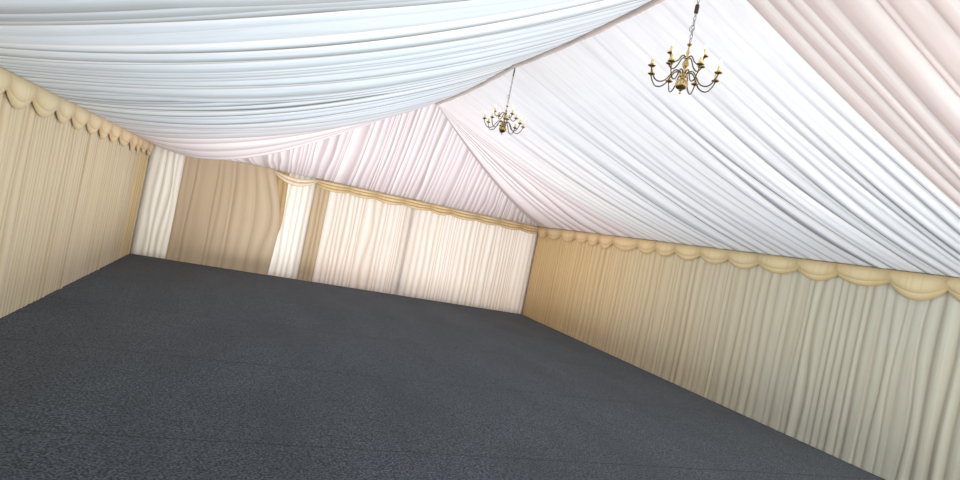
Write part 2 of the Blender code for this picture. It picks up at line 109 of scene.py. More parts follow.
def new_piece(name, points, quads, finish, uv=None, fold=None, flip=False):
    """One piece from its points and quads, riding on the tent."""
    points = np.asarray(points, np.float32).reshape(-1, 3)
    quads = np.asarray(quads, np.int32)
    if flip:
        quads = quads[:, ::-1]
    mesh = bpy.data.meshes.new(name)
    mesh.vertices.add(len(points))
    mesh.vertices.foreach_set("co", points.ravel())
    mesh.loops.add(quads.size)
    mesh.loops.foreach_set("vertex_index", np.ascontiguousarray(quads).ravel())
    mesh.polygons.add(len(quads))
    mesh.polygons.foreach_set("loop_start", np.arange(0, quads.size, 4, dtype=np.int32))
    mesh.update(calc_edges=True)
    if uv is not None:
        layer = mesh.uv_layers.new(name="cloth")
        picked = np.asarray(uv, np.float32).reshape(-1, 2)[quads.ravel()]
        layer.data.foreach_set("uv", picked.ravel())
    # The fold attribute carries painted shade, and below nothing a painted highlight, for the cloth
    # finishes
    if fold is not None:
        mark = mesh.attributes.new("fold", "FLOAT", "POINT")
        mark.data.foreach_set("value", np.asarray(fold, np.float32).ravel())
    mesh.validate()
    mesh.shade_smooth()
    mesh.materials.append(finish)
    piece = bpy.data.objects.new(name, mesh)
    bpy.context.scene.collection.objects.link(piece)
    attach(piece, "root")
    return piece


def close_up(piece):
    """Merge doubled points of a turned or swept piece and face it outwards."""
    bm = bmesh.new()
    bm.from_mesh(piece.data)
    bmesh.ops.remove_doubles(bm, verts=bm.verts, dist=MERGE)
    bmesh.ops.recalc_face_normals(bm, faces=bm.faces)
    bm.to_mesh(piece.data)
    bm.free()
    piece.data.shade_smooth()
    return piece


def joined(parts):
    """Several parts, each its points and quads, as one pair of arrays."""
    points = []
    quads = []
    base = 0
    for part_points, part_quads in parts:
        flat = np.asarray(part_points).reshape(-1, 3)
        points.append(flat)
        quads.append(part_quads + base)
        base += len(flat)
    return np.concatenate(points), np.concatenate(quads)


# Gathered cloth

def crease_places(start, stop, mean, scatter, seed):
    """Creases along a run: steps of a mean width with a seeded scatter, scaled to fit."""
    chance = np.random.default_rng(seed)
    count = max(2, int(round((stop - start) / mean)))
    steps = np.exp(scatter * chance.standard_normal(count))
    reached = np.concatenate([[0.0], np.cumsum(steps)])
    return start + (stop - start) * reached / reached[-1]


def fold_pattern(creases, per_fold, rows, seed, depth, lean=0.35, bias=0.0, full=(1.6, 3.2), fade=0.20,
                 strong=None, edge=None, fold_shades=(), dapple=0.0):
    """Run, depth and shade over a gathered cloth.

    Each fold is a lobe, 1 - |2f - 1|^p between its creases, with its own depth,
    lean and slow swelling along its length. The lobe's depth follows its width.
    The bias leans all lobes one way, full is the range of p, and fade is the share
    of its depth that a fold loses where it runs out. The shade is painted shade, which
    grows towards both creases. Where edge is set it climbs to the lobe's crest as half a
    soft root and half a crisp power, then stays, and starts below nothing, as a painted
    highlight, past the edge that the fold shares with the one before. The whole-fold
    shades, a list of (place, shade), paint darker shade over whole folds, and dapple is
    the seeded part of that.
    """
    chance = np.random.default_rng(seed)
    count = len(creases) - 1
    part = np.tile(np.linspace(0, 1, per_fold, endpoint=False), count)
    number = np.repeat(np.arange(count), per_fold)
    part = np.append(part, 1.0)
    number = np.append(number, count - 1)
    along = np.linspace(0, 1, rows)[:, None]

    drift = 0.22 * chance.standard_normal(count + 1)
    drift[[0, -1]] = 0
    width = np.diff(creases)
    narrow = np.minimum(np.append(width, width[-1]), np.insert(width, 0, width[0]))
    turn = chance.uniform(0, 2 * np.pi, count + 1)
    sway = np.sin(np.pi * along) * np.sin(1.5 * np.pi * along + turn[None, :])
    line = creases[None, :] + drift[None, :] * narrow[None, :] * sway
    run = line[:, number] * (1 - part) + line[:, number + 1] * part

    skew = np.exp(bias + lean * chance.standard_normal(count))[number]
    bent = part ** skew
    power = chance.uniform(full[0], full[1], count)[number]
    lobe = 1 - np.abs(2 * bent - 1) ** power
    weight = chance.uniform(0.45, 1.25, count) if strong is None else 0.25 + np.asarray(strong)
    size = depth * np.minimum(width, 2.2 * np.median(width)) * weight
    swell_turn = chance.uniform(0, 2 * np.pi, count)[number]
    swell = 1 - fade + fade * np.sin(1.7 * np.pi * along + swell_turn[None, :])
    deep = lobe[None, :] * size[number][None, :] * swell
    # Painted shade: darker towards both creases of each fold
    shade = 1 - np.minimum(1, 2.4 * np.minimum(part, 1 - part))
    bold = np.minimum(1.0, 0.10 + 0.80 * weight if strong is None else 1.25 * np.asarray(strong))
    if edge:
        before = np.insert(bold[:-1], 0, bold[0])
        climb = np.minimum(1, 2 * bent)
        shade = (0.45 * climb ** 0.6 + 0.55 * climb ** (2.5 * edge)) * bold[number]
        # Painted highlight: the shade goes below nothing just past the edge shared with the fold before
        shade = shade - before[number] * np.clip((0.56 - part) / 0.30, 0, 1)
        shade = shade + dapple * chance.uniform(-0.4, 1.0, count)[number]
        # Painted shade laid over whole folds at the listed places
        if len(fold_shades):
            middle = (creases[:-1] + creases[1:]) / 2
            shade = shade + np.interp(middle, [y for y, dark in fold_shades], [dark for y, dark in fold_shades])[number]
        return run, deep, shade[None, :] * (0.55 + 0.45 * swell), number, part
    return run, deep, np.broadcast_to(shade * bold[number], run.shape), number, part


def styled_folds(creases, style, seed, strong=None, fold_shades=()):
    """The fold pattern of one of the lining's styles."""
    return fold_pattern(
        creases, style["per_fold"], style["rows"], seed, style["depth"], LINING_LEAN, style["bias"],
        style["full"], style["fade"], strong, style["edge"], fold_shades, style["dapple"],
    )


def uneven_slack(creases, number, part, seed, amount):
    """Slack that differs from crease to crease, none at the edges, straight across each fold.

    It is seeded noise, half rough and half smoothed over a few folds.
    """
    chance = np.random.default_rng(seed)
    rough = chance.standard_normal(len(creases))
    window = np.hanning(SLACK_REACH + 2)[1:-1]
    calm = np.convolve(rough, window / window.sum(), mode="same")
    slack = amount * (0.7 * calm * math.sqrt(SLACK_REACH) * 0.7 + 0.5 * rough)
    slack[[0, -1]] = 0
    return slack[number] * (1 - part) + slack[number + 1] * part


def lengths_along(points, axis):
    """Running length of a grid of points along one axis, starting at 0."""
    step = np.linalg.norm(np.diff(points, axis=axis), axis=-1)
    total = np.cumsum(step, axis=axis)
    pad = [(1, 0) if side == axis else (0, 0) for side in (0, 1)]
    return np.pad(total, pad)


def cloth_piece(name, points, fold, finish, node, held, flip, three_sided=False):
    """A hung or gathered sheet with its flat size taken from the lengths of its threads."""
    down = lengths_along(points, 0)
    over = lengths_along(points, 1)
    middle = over[len(over) // 3, :]
    uv = np.stack([np.broadcast_to(middle, down.shape), down], axis=-1)
    rows, cols = points.shape[:2]
    piece = new_piece(name, points, quads_of(rows, cols), finish, uv, fold, flip)
    flat = (float(over[:, -1].max()), float(down[-1].max()))
    area = None
    if three_sided or held == "draped":
        a = points[:-1, :-1]
        b = points[:-1, 1:]
        c = points[1:, :-1]
        area = float(np.linalg.norm(np.cross(b - a, c - a), axis=-1).sum())
        area = min(max(area, 0.31 * flat[0] * flat[1]), flat[0] * flat[1])
    if node is not None:
        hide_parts(node)
    return piece


# Ceiling linings

def lining_z(part_way, sag):
    """Height of the lining: a straight slope from eave to ridge less a parabola of sag."""
    return EAVE_Z + RISE * part_way - 4 * sag * part_way * (1 - part_way)


def broad_waves(run, along, seed, height):
    """Slow waves across the folds: three sines of seeded phase that drift up the slope."""
    chance = np.random.default_rng(seed)
    total = np.zeros_like(run)
    for length, weight in ((0.47, 0.45), (0.71, 0.35), (1.25, 0.30)):
        turn = chance.uniform(0, 2 * np.pi)
        drift = chance.uniform(-0.9, 0.9)
        total = total + weight * np.sin(2 * np.pi * run / length + turn + drift * np.sin(np.pi * along))
    return height * total


def listed_creases(y0, y1, places):
    """The creases of a list of (place, strength) inside a bay, and the strength of each fold."""
    inside = [(y, strength) for y, strength in places if y0 + 0.03 < y < y1 - 0.03]
    creases = np.array([y0] + [y for y, strength in inside] + [y1])
    last = [strength for y, strength in places if abs(y - y1) < 0.03]
    strong = np.array([strength for y, strength in inside] + (last or [0.6]))
    return creases, strong


def drift_of(side, along):
    """How far along the tent a fold's lower end lies from its head: an exponential in the way up."""
    if side > 0:
        return np.zeros_like(along)
    return DRIFT * (np.exp(-along / DRIFT_REACH) - math.exp(-1 / DRIFT_REACH))


def hip_sag(side, along):
    """Sag of a hip seam: it lessens with the way up and its square."""
    first, by_way, by_square = HIP_SAG[side]
    return first - by_way * along - by_square * along * along


def slope_sag(side, y, along):
    """Sag of a long slope, and its belly.

    The sag is the seam's and the bay's, and it grows to the hip's past the last frame.
    """
    past = np.clip((np.abs(y) - APEX_Y) / np.maximum(1e-6, (HALF_LENGTH - APEX_Y) * (1 - along)), 0, 1)
    part = ((y + APEX_Y) / BAY) % 1.0
    belly = np.where(np.abs(y) < APEX_Y, 4 * part * (1 - part), 0.0)
    grown = SEAM_SAG[side] + (hip_sag(side, along) - SEAM_SAG[side]) * past * past * (3 - 2 * past)
    return grown + BAY_SAG * belly, belly


def slope_cloth(name, side, x, y, z, shade, finish, flip, three_sided=False):
    """The lining piece of a long slope, in place of its plain solid."""
    points = np.stack([np.broadcast_to(x, y.shape), y, z], axis=-1)
    hand = "left" if side < 0 else "right"
    return cloth_piece(
        name, points, shade, finish, "ceiling_lining_" + hand, "gathered",
        flip=flip, three_sided=three_sided,
    )


def side_bay(name, side, y0, y1, finish, seed, style, places, fold_shades):
    """A bay of a long slope, gathered at eave and ridge.

    x runs in from the wall, y keeps to its fold and drifts on the left slope, and z
    is the sagging slope less the uneven slack and the folds, with the ridge edge
    sagging between frames.
    """
    if len(places):
        creases, strong = listed_creases(y0, y1, places)
    else:
        creases, strong = crease_places(y0, y1, style["mean"], style["scatter"], seed), None
    run, deep, shade, number, part = styled_folds(creases, style, seed + 1, strong, fold_shades)
    along = np.linspace(0, 1, style["rows"])[:, None]
    calm_top = 1 - style["calm"] * np.clip((along - style["calm_from"]) / 0.40, 0, 1)
    uneven = uneven_slack(creases, number, part, seed + 2, style["slack"])
    bay_part = (run - y0) / (y1 - y0)
    y = run + drift_of(side, along)
    sag, belly = slope_sag(side, y, along)
    loose = uneven[None, :] + broad_waves(run, along, seed + 3, style["waves"])
    sag = sag + loose * np.clip(12 * bay_part * (1 - bay_part), 0, 1)
    ends = np.sin(np.pi * along) ** 0.45
    x = side * (HALF_WIDTH - along * (HALF_WIDTH - SLIT))
    deep = deep * calm_top * (0.25 + 0.75 * ends) * np.clip(14 * (1 - along) + 0.3, 0, 1)
    z = lining_z(along, sag) - deep - RIDGE_SAG * belly * along ** 6
    return slope_cloth(name, side, x, y, z, shade * calm_top, finish, side > 0)


def side_hip(name, side, end, finish, seed, style):
    """The three-sided end of a long slope, its folds fanning from the ridge end.

    A fold starts at its place on the eave and closes on the ridge end. The first one
    follows the edge of the last bay, the last one the hip. The sag grows from the last
    frame's to the hip's.
    """
    hip_run = HALF_LENGTH - APEX_Y
    creases = crease_places(0.0, 1.0, style["mean"] / hip_run, style["scatter"], seed)
    run, deep, shade, number, part = styled_folds(creases, style, seed + 1)
    along = np.linspace(0, 0.996, style["rows"])[:, None]
    uneven = uneven_slack(creases, number, part, seed + 2, style["slack"])
    x = side * (HALF_WIDTH - along * (HALF_WIDTH - SLIT))
    y = end * (APEX_Y + run * hip_run * (1 - along)) + drift_of(side, along) * (1 - run)
    sag = slope_sag(side, y, along)[0] + uneven[None, :]
    z = lining_z(along, sag) - deep * hip_run * (1 - along) ** 0.7 * np.clip(0.25 + 5 * along, 0, 1)
    return slope_cloth(name, side, x, y, z, shade, finish, side * end > 0, three_sided=True)


def end_hip(name, end, finish, seed, style):
    """The three-sided slope over an end wall, its folds running from wall to hips.

    Each fold climbs from the wall to the hip line, which sags as the side slopes do.
    Right of the middle the folds lean towards the ridge by the style's lean, which a
    logistic step brings in and an exponential takes out at the corner. Between wall
    and hip the cloth hangs in a curve of its own.
    """
    creases = crease_places(-HALF_WIDTH + 0.01, HALF_WIDTH - 0.01, style["mean"], style["scatter"], seed)
    run, deep, shade, number, part = styled_folds(creases, style, seed + 1)
    along = np.linspace(0, 1, style["rows"])[:, None]
    corner = 1 - np.exp((np.abs(run) - HALF_WIDTH) / 0.7)
    lean = style["lean"] * (0.16 + 0.84 / (1 + np.exp(-run / 0.45))) * corner
    head = run - lean
    reach = HALF_WIDTH - np.abs(head)
    share = reach / HALF_WIDTH
    top = lining_z(share, np.where(head < 0, hip_sag(-1, share), hip_sag(1, share)))
    uneven = uneven_slack(creases, number, part, seed + 2, style["slack"])
    own = (END_SAG + uneven[None, :]) * share ** 1.3
    x = run - lean * along + style["bow"] * np.sin(np.pi * along) * share
    y = HALF_LENGTH - along * reach
    z = EAVE_Z + (top - EAVE_Z) * along - 4 * own * along * (1 - along)
    z = z - deep * np.clip(0.25 + 6 * along, 0, 1) * np.clip(0.2 + 5 * (1 - along), 0, 1) * share ** 0.5
    points = np.stack([x, end * y, z], axis=-1)
    node = "ceiling_lining_far" if end > 0 else "ceiling_lining_near"
    return cloth_piece(
        name, points, shade, finish, node, "gathered",
        flip=end < 0, three_sided=True,
    )


# Wall linings, curtains and sheers

# The axis that each wall's lining runs along, its side of the tent, and its distance from the middle
WALLS = {
    "left": ("y", -1, HALF_WIDTH),
    "right": ("y", 1, HALF_WIDTH),
    "far": ("x", 1, HALF_LENGTH),
    "near": ("x", -1, HALF_LENGTH),
}
HEM_Z = CARPET_Z + 0.004
HEAD_Z = EAVE_Z - 0.004
SWAG_TOP = 2.252
BELLY_PLACE = 0.62
KNOT = 0.016


def on_wall(wall, run, away, z):
    """Points of a cloth that runs along a wall and stands in from its lining, and if its faces turn."""
    axis, side, half = WALLS[wall]
    level = side * (half - away)
    if axis == "x":
        return np.stack([run, level, z], axis=-1), side < 0
    return np.stack([level, run, z], axis=-1), side > 0


def hung_cloth(name, wall, start, stop, finish, node, seed, mean, depth, per_fold=12, rows=16,
               off=-0.002, foot=HEM_Z, head=HEAD_Z, scatter=0.32, bulge=0.0, spread=2.0, tuck=0.0):
    """Pleated cloth on a wall: folds run down, closed at the heading, fuller at the hem.

    The run goes along the wall, the folds stand in from it by their depth, which
    grows from a third at the heading to full over the top fifth. A bulge carries the
    far edge that much further along the wall below the heading, by a quarter sine over
    the top three fifths that falls off a little at the hem, and the folds before it by a
    power of their share of the width. A tuck slides the cloth back in the lower half.
    """
    creases = crease_places(start, stop, mean, scatter, seed)
    # Painted shade, darker towards the creases of the pleats
    run, deep, painted_crease_shade = fold_pattern(creases, per_fold, rows, seed + 1, depth)[:3]
    along = np.linspace(0, 1, rows)[:, None]
    climb = np.sin(np.pi / 2 * np.minimum(1, along / BELLY_PLACE))
    belly = climb * (1 - 0.15 * np.clip((along - BELLY_PLACE) / (1 - BELLY_PLACE), 0, 1))
    run = run + bulge * ((run - start) / (stop - start)) ** spread * belly
    eased = np.clip((along - 0.45) / 0.40, 0, 1)
    run = run - tuck * eased * eased * (3 - 2 * eased)
    grown = 0.35 + 0.65 * np.clip(along * 5, 0, 1)
    z = np.broadcast_to(head + (foot - head) * along, run.shape)
    points, flip = on_wall(wall, run, off + deep * grown, z)
    return cloth_piece(name, points, painted_crease_shade, finish, node, "hung", flip=flip)


def swag_band(name, wall, off, start, stop, drop, rise, count, finish, seed,
              head=SWAG_TOP, tiers=2, folds=3, per_swag=36, sink=0.0, puff=1.0):
    """A draped valance: tiers of scallops between pins.

    Across a swag the hem hangs in a parabola, and the folds across it keep their
    share of the drop, so they close up at the pins. Each fold stands out as a lobe,
    and the cloth bunches into a small upright knot at each pin. The upper edge sinks
    with the hem by the given depth, and puff scales the lobes. The pins stand a little
    unevenly.
    """
    chance = np.random.default_rng(seed)
    columns = count * per_swag + 1
    place = np.linspace(0, count, columns)
    number = np.minimum(place.astype(int), count - 1)
    part = place - number
    hang = 4 * part * (1 - part)
    own = 1 + 0.12 * chance.standard_normal(count)[number]
    widths = 1 + 0.14 * chance.standard_normal(count)
    pins = np.concatenate([[0.0], np.cumsum(widths)]) / widths.sum()
    across = start + (stop - start) * np.interp(place, np.arange(count + 1), pins)
    along, out, height, fold = [], [], [], []
    rows_each = max(10, folds * 8)
    for tier in range(tiers):
        share = np.linspace(0, 1, rows_each + 1)[:, None]
        low = rise + (drop - rise) * hang * own
        low = low * (0.60 + 0.40 * (tier + 1) / tiers)
        top = sink * hang if tier == 0 else 0.45 * low * tier / tiers
        height.append(head - (top + (low - top) * share))
        wave = np.abs(np.sin(np.pi * folds * share)) ** 0.8
        full = 0.35 + 0.65 * hang
        stand = 0.008 + 0.010 * (tiers - 1 - tier) + puff * (0.012 + 0.016 * share) * wave * full
        stand = np.where(share >= 1.0, 0.004 + 0.006 * (tiers - 1 - tier), stand)
        knot = np.exp(-(hang / 0.22) ** 2)
        crimp = 0.7 + 0.3 * np.cos(30 * np.pi * part)
        stand = stand + KNOT * knot * np.sin(np.pi * np.clip(share * 1.1, 0, 1)) * crimp
        out.append(np.broadcast_to(stand, height[-1].shape))
        along.append(np.broadcast_to(across, height[-1].shape))
        # Painted shade: darker where the lobes stand least and towards the pins
        fold.append(np.broadcast_to(1 - wave * full, height[-1].shape))
    points, flip = on_wall(wall, np.concatenate(along), off + np.concatenate(out), np.concatenate(height))
    return cloth_piece(
        name, points, np.concatenate(fold), finish, "pelmet_" + wall, "draped", flip=flip,
    )


# Turned and swept metal

def turned(profile, centre, sides):
    """A profile of (radius, height) turned about a vertical line through a centre."""
    profile = np.asarray(profile, float)
    angle = np.linspace(0, 2 * np.pi, sides, endpoint=False)
    x = centre[0] + profile[:, :1] * np.cos(angle)
    y = centre[1] + profile[:, :1] * np.sin(angle)
    z = centre[2] + np.broadcast_to(profile[:, 1:], x.shape)
    points = np.stack([x, y, z], axis=-1)
    return points, quads_of(len(profile), sides, wrap_cols=True)


def smooth_line(knots, count):
    """A smooth line through knots, each stretch a cubic whose ends follow its neighbours."""
    knots = np.asarray(knots, float)
    padded = np.concatenate([2 * knots[:1] - knots[1:2], knots, 2 * knots[-1:] - knots[-2:-1]])
    place = np.linspace(0, len(knots) - 1, count)
    first = np.minimum(place.astype(int), len(knots) - 2)
    t = (place - first)[:, None]
    a, b, c, d = (padded[first + step] for step in range(4))
    square = (2 * a - 5 * b + 4 * c - d) * t ** 2
    cube = (3 * b - a - 3 * c + d) * t ** 3
    return 0.5 * (2 * b + (c - a) * t + square + cube)


def swept(line, radius, side, sides):
    """A round rod along a line in one plane: circles square to the line, closed at both ends."""
    line = np.asarray(line, float)
    heading = np.gradient(line, axis=0)
    heading /= np.linalg.norm(heading, axis=1, keepdims=True)
    side = np.asarray(side, float) / np.linalg.norm(side)
    up = np.cross(heading, side)
    up /= np.linalg.norm(up, axis=1, keepdims=True)
    radius = np.broadcast_to(np.asarray(radius, float), (len(line),))
    line = np.concatenate([line[:1], line, line[-1:]])
    up = np.concatenate([up[:1], up, up[-1:]])
    radius = np.concatenate([[0.0], radius, [0.0]])
    angle = np.linspace(0, 2 * np.pi, sides, endpoint=False)
    ring = np.cos(angle)[None, :, None] * side + np.sin(angle)[None, :, None] * up[:, None, :]
    points = line[:, None, :] + ring * radius[:, None, None]
    return points, quads_of(len(line), sides, wrap_cols=True)


def link(centre, turn, length=0.036, width=0.020, wire=0.0022, lengthwise=18, sides=7):
    """An oval chain link: a circle carried round a stretched ring in an upright plane."""
    angle = np.linspace(0, 2 * np.pi, lengthwise, endpoint=False)[:, None]
    around = np.linspace(0, 2 * np.pi, sides, endpoint=False)[None, :]
    flat = np.array([math.cos(turn), math.sin(turn), 0.0])
    across = np.array([-math.sin(turn), math.cos(turn), 0.0])
    half_w = width / 2 - wire
    half_l = length / 2 - wire
    out = np.cos(angle) + np.zeros_like(around)
    rise = np.sin(angle) + np.zeros_like(around)
    spread = wire * np.cos(around)
    reach = half_w * out + spread * out
    height = half_l * rise + spread * rise
    points = (
        np.asarray(centre)
        + reach[..., None] * flat
        + (wire * np.sin(around) + np.zeros_like(reach))[..., None] * across
        + height[..., None] * UP
    )
    return points, quads_of(lengthwise, sides, True, True)


# Finishes

def start_finish(name):
    """A named material with its tree, its Principled shader and its texture coordinates."""
    finish = bpy.data.materials.new(name)
    finish.use_nodes = True
    tree = finish.node_tree
    return finish, tree, tree.nodes["Principled BSDF"], add(tree, "ShaderNodeTexCoord").outputs


def add(tree, kind, links=None, **values):
    """A node with its values set and its inputs linked."""
    made = tree.nodes.new(kind)
    for name, value in values.items():
        if name in made.inputs:
            made.inputs[name].default_value = value
        else:
            setattr(made, name, value)
    for name, source in (links or {}).items():
        tree.links.new(source, made.inputs[name])
    return made


def feed(tree, socket, value):
    """An input fed with another socket, a colour or a number."""
    if isinstance(value, bpy.types.NodeSocket):
        tree.links.new(value, socket)
    elif isinstance(value, tuple):
        socket.default_value = (*value, 1.0)
    else:
        socket.default_value = value


def set_shader(tree, shader, **values):
    """The shader's inputs by name, an underscore for each space."""
    for name, value in values.items():
        feed(tree, shader.inputs[name.replace("_", " ")], value)


def blended(tree, factor, first, second, how="MIX"):
    """Two colours mixed by a factor; each is a socket, a colour or a number."""
    mix = add(tree, "ShaderNodeMix", data_type="RGBA", blend_type=how)
    for socket, value in ((0, factor), (6, first), (7, second)):
        feed(tree, mix.inputs[socket], value)
    return mix.outputs[2]


def ranged(tree, source, low, high, to_low=0.0, to_high=1.0):
    """A value stretched from one range to another and held there."""
    made = add(tree, "ShaderNodeMapRange", {"Value": source}, clamp=True)
    for name, value in (("From Min", low), ("From Max", high), ("To Min", to_low), ("To Max", to_high)):
        made.inputs[name].default_value = value
    return made.outputs["Result"]


def worked(tree, how, first, second=None):
    """The result of one sum, by the name of its operation."""
    made = add(tree, "ShaderNodeMath", {0: first}, operation=how)
    if second is not None:
        feed(tree, made.inputs[1], second)
    return made.outputs[0]


def coordinate(tree, places, axis):
    """One coordinate of the object's own space."""
    return add(tree, "ShaderNodeSeparateXYZ", {"Vector": places["Object"]}).outputs[axis]


def scaled_noise(tree, source, scale, size, detail, rough=0.55):
    """Noise on stretched coordinates."""
    mapping = add(tree, "ShaderNodeMapping", {"Vector": source}, Scale=scale)
    noise = add(
        tree, "ShaderNodeTexNoise", {"Vector": mapping.outputs["Vector"]},
        Scale=size, Detail=detail, Roughness=rough,
    )
    return noise.outputs["Fac"]


def bumped(tree, height, strength, distance, over=None):
    """The normal raised by a height, on top of another normal where one is given."""
    made = add(tree, "ShaderNodeBump", {"Height": height}, Strength=strength, Distance=distance)
    if over is not None:
        tree.links.new(over, made.inputs["Normal"])
    return made.outputs["Normal"]


def cloth_finish(name, colour, crease, tint, translucent=0.25, rough=0.75, streaks=34.0, sheen=0.25,
                 bump=0.35, far=None, streak=0.30, ridge=None, eave=None):
    """Gathered cloth: painted shade darkens the colour to the second colour towards the creases,
    a painted highlight lightens it past them, and fine streaks along the folds carry more painted
    shade; a slow tint varies the colour.

    A second pair of colours, given as far, takes over towards the far end of the tent,
    and a ridge tint and an eave tint multiply the colour close to those, painting the glow
    and colour cast of the light there.
    """
    finish, tree, shader, places = start_finish(name)
    fold = add(tree, "ShaderNodeAttribute", attribute_name="fold").outputs["Fac"]
    fine = scaled_noise(tree, places["UV"], (streaks, 1.3, 1.0), 1.0, 4.0, 0.6)
    wide = scaled_noise(tree, places["Object"], (0.55, 0.55, 0.55), 1.0, 2.0)
    if far is not None:
        reached = ranged(tree, coordinate(tree, places, "Y"), far[0], far[1])
        colour = blended(tree, reached, colour, far[2])
        crease = blended(tree, reached, crease, far[3])
    # Painted shade to the second colour by the fold attribute, a painted white highlight where that is
    # below nothing, and painted shade along the fine streaks
    shaded = blended(tree, ranged(tree, fold, 0.05, 1.0), colour, crease)
    shaded = blended(tree, ranged(tree, fold, -1.0, -0.05, 0.85, 0.0), shaded, (1.0, 1.0, 1.0))
    shaded = blended(tree, ranged(tree, fine, 0.48, 0.70, 0.0, streak), shaded, crease)
    # Painted light: the ridge and eave tints paint a glow and a colour cast near the ridge and near the
    # walls
    for there, low, high, at_low in ((ridge, 0.05, 0.95, 1.0), (eave, 2.0, 4.0, 0.0)):
        if there is not None:
            off = worked(tree, "ABSOLUTE", coordinate(tree, places, "X"))
            near = ranged(tree, off, low, high, at_low, 1.0 - at_low)
            shaded = blended(tree, near, shaded, there, "MULTIPLY")
    tinted = blended(tree, ranged(tree, wide, 0.42, 0.62, 0.0, 0.65), shaded, tint, "MULTIPLY")
    weave = scaled_noise(tree, places["UV"], (420.0, 420.0, 1.0), 1.0, 1.0)
    normal = bumped(tree, weave, 0.12, 0.0012, over=bumped(tree, fine, bump, 0.010))
    set_shader(
        tree, shader, Base_Color=tinted, Roughness=rough, Sheen_Weight=sheen, Specular_IOR_Level=0.25,
        Normal=normal,
    )
    if translucent:
        through = add(tree, "ShaderNodeBsdfTranslucent", {"Color": tinted, "Normal": normal})
        mix = add(tree, "ShaderNodeMixShader", {1: shader.outputs["BSDF"], 2: through.outputs["BSDF"]})
        mix.inputs[0].default_value = translucent
        tree.links.new(mix.outputs["Shader"], tree.nodes["Material Output"].inputs["Surface"])
    return finish


def brass_finish(name, colour, dark, rough):
    """Lacquered brass: slow colour variation, faint turning lines and fingered patches."""
    finish, tree, shader, places = start_finish(name)
    patch = scaled_noise(tree, places["Object"], (26.0, 26.0, 26.0), 1.0, 4.0)
    lines = scaled_noise(tree, places["Object"], (20.0, 20.0, 900.0), 1.0, 2.0)
    set_shader(
        tree, shader,
        Base_Color=blended(tree, ranged(tree, patch, 0.45, 0.72), colour, dark),
        Roughness=ranged(tree, patch, 0.3, 0.8, rough * 0.75, rough * 1.7),
        Metallic=1.0,
        Normal=bumped(tree, lines, 0.10, 0.0004),
    )
    return finish


def plain_finish(name, colour, second, rough, size, metallic=0.0, bump=0.1, distance=0.001,
                 grain=(1.0, 1.0, 1.0)):
    """A surface with grain: two near colours in noise, uneven roughness and a low bump."""
    finish, tree, shader, places = start_finish(name)
    noise = scaled_noise(tree, places["Object"], grain, size, 5.0)
    wide = scaled_noise(tree, places["Object"], grain, size / 9, 2.0)
    mottled = blended(tree, ranged(tree, noise, 0.40, 0.66), colour, second)
    set_shader(
        tree, shader,
        Base_Color=blended(tree, ranged(tree, wide, 0.40, 0.65, 0.0, 0.5), mottled, second),
        Roughness=ranged(tree, noise, 0.3, 0.7, rough * 0.85, min(1.0, rough * 1.15)),
        Metallic=metallic,
        Normal=bumped(tree, noise, bump, distance),
    )
    return finish


def coated_finish(name, colour, shade, seam, seam_step, axis):
    """Coated roof and wall fabric: it sinks between frames, with slow ripples, a fine weave and dark welds.

    A frame and its weld lie half a step past each multiple of the step, where the cosine is highest.
    """
    finish, tree, shader, places = start_finish(name)
    moved = worked(tree, "ADD", coordinate(tree, places, axis), 60 * seam_step)
    off = worked(tree, "SUBTRACT", worked(tree, "MODULO", moved, seam_step), seam_step / 2)
    weld = ranged(tree, worked(tree, "ABSOLUTE", off), 0.020, 0.028, 1.0, 0.0)
    belly = worked(tree, "COSINE", worked(tree, "MULTIPLY", off, 2 * math.pi / seam_step))
    ripple = scaled_noise(tree, places["Object"], (0.8, 0.8, 0.8), 1.0, 3.0)
    grime = scaled_noise(tree, places["Object"], (0.6, 0.6, 2.2), 1.0, 5.0, 0.7)
    weave = scaled_noise(tree, places["Object"], (260.0, 260.0, 260.0), 1.0, 1.0)
    stained = blended(tree, ranged(tree, grime, 0.45, 0.75, 0.0, 0.6), colour, shade)
    wide = bumped(tree, worked(tree, "ADD", belly, ripple), 0.8, 0.030)
    set_shader(
        tree, shader,
        Base_Color=blended(tree, weld, stained, seam),
        Roughness=ranged(tree, grime, 0.3, 0.8, 0.38, 0.58),
        Specular_IOR_Level=0.45,
        Normal=bumped(tree, weave, 0.08, 0.001, over=wide),
    )
    return finish


def pane_finish(name):
    """Clear flexible sheet: mostly see-through, with a glossy face and soft waves."""
    finish, tree, shader, places = start_finish(name)
    wave = scaled_noise(tree, places["Object"], (1.6, 1.6, 2.4), 1.0, 2.0)
    set_shader(
        tree, shader, Base_Color=(0.86, 0.90, 0.92), Roughness=0.06, Alpha=0.28,
        Normal=bumped(tree, wave, 0.4, 0.02),
    )
    return finish


def bulb_finish(name):
    """Frosted candle bulb with a faint glow."""
    finish, tree, shader, places = start_finish(name)
    frost = scaled_noise(tree, places["Object"], (90.0, 90.0, 90.0), 1.0, 3.0)
    set_shader(
        tree, shader, Base_Color=(0.97, 0.94, 0.86), Roughness=ranged(tree, frost, 0.3, 0.7, 0.18, 0.34),
        Emission_Color=(1.0, 0.87, 0.60), Emission_Strength=0.38,
    )
    return finish


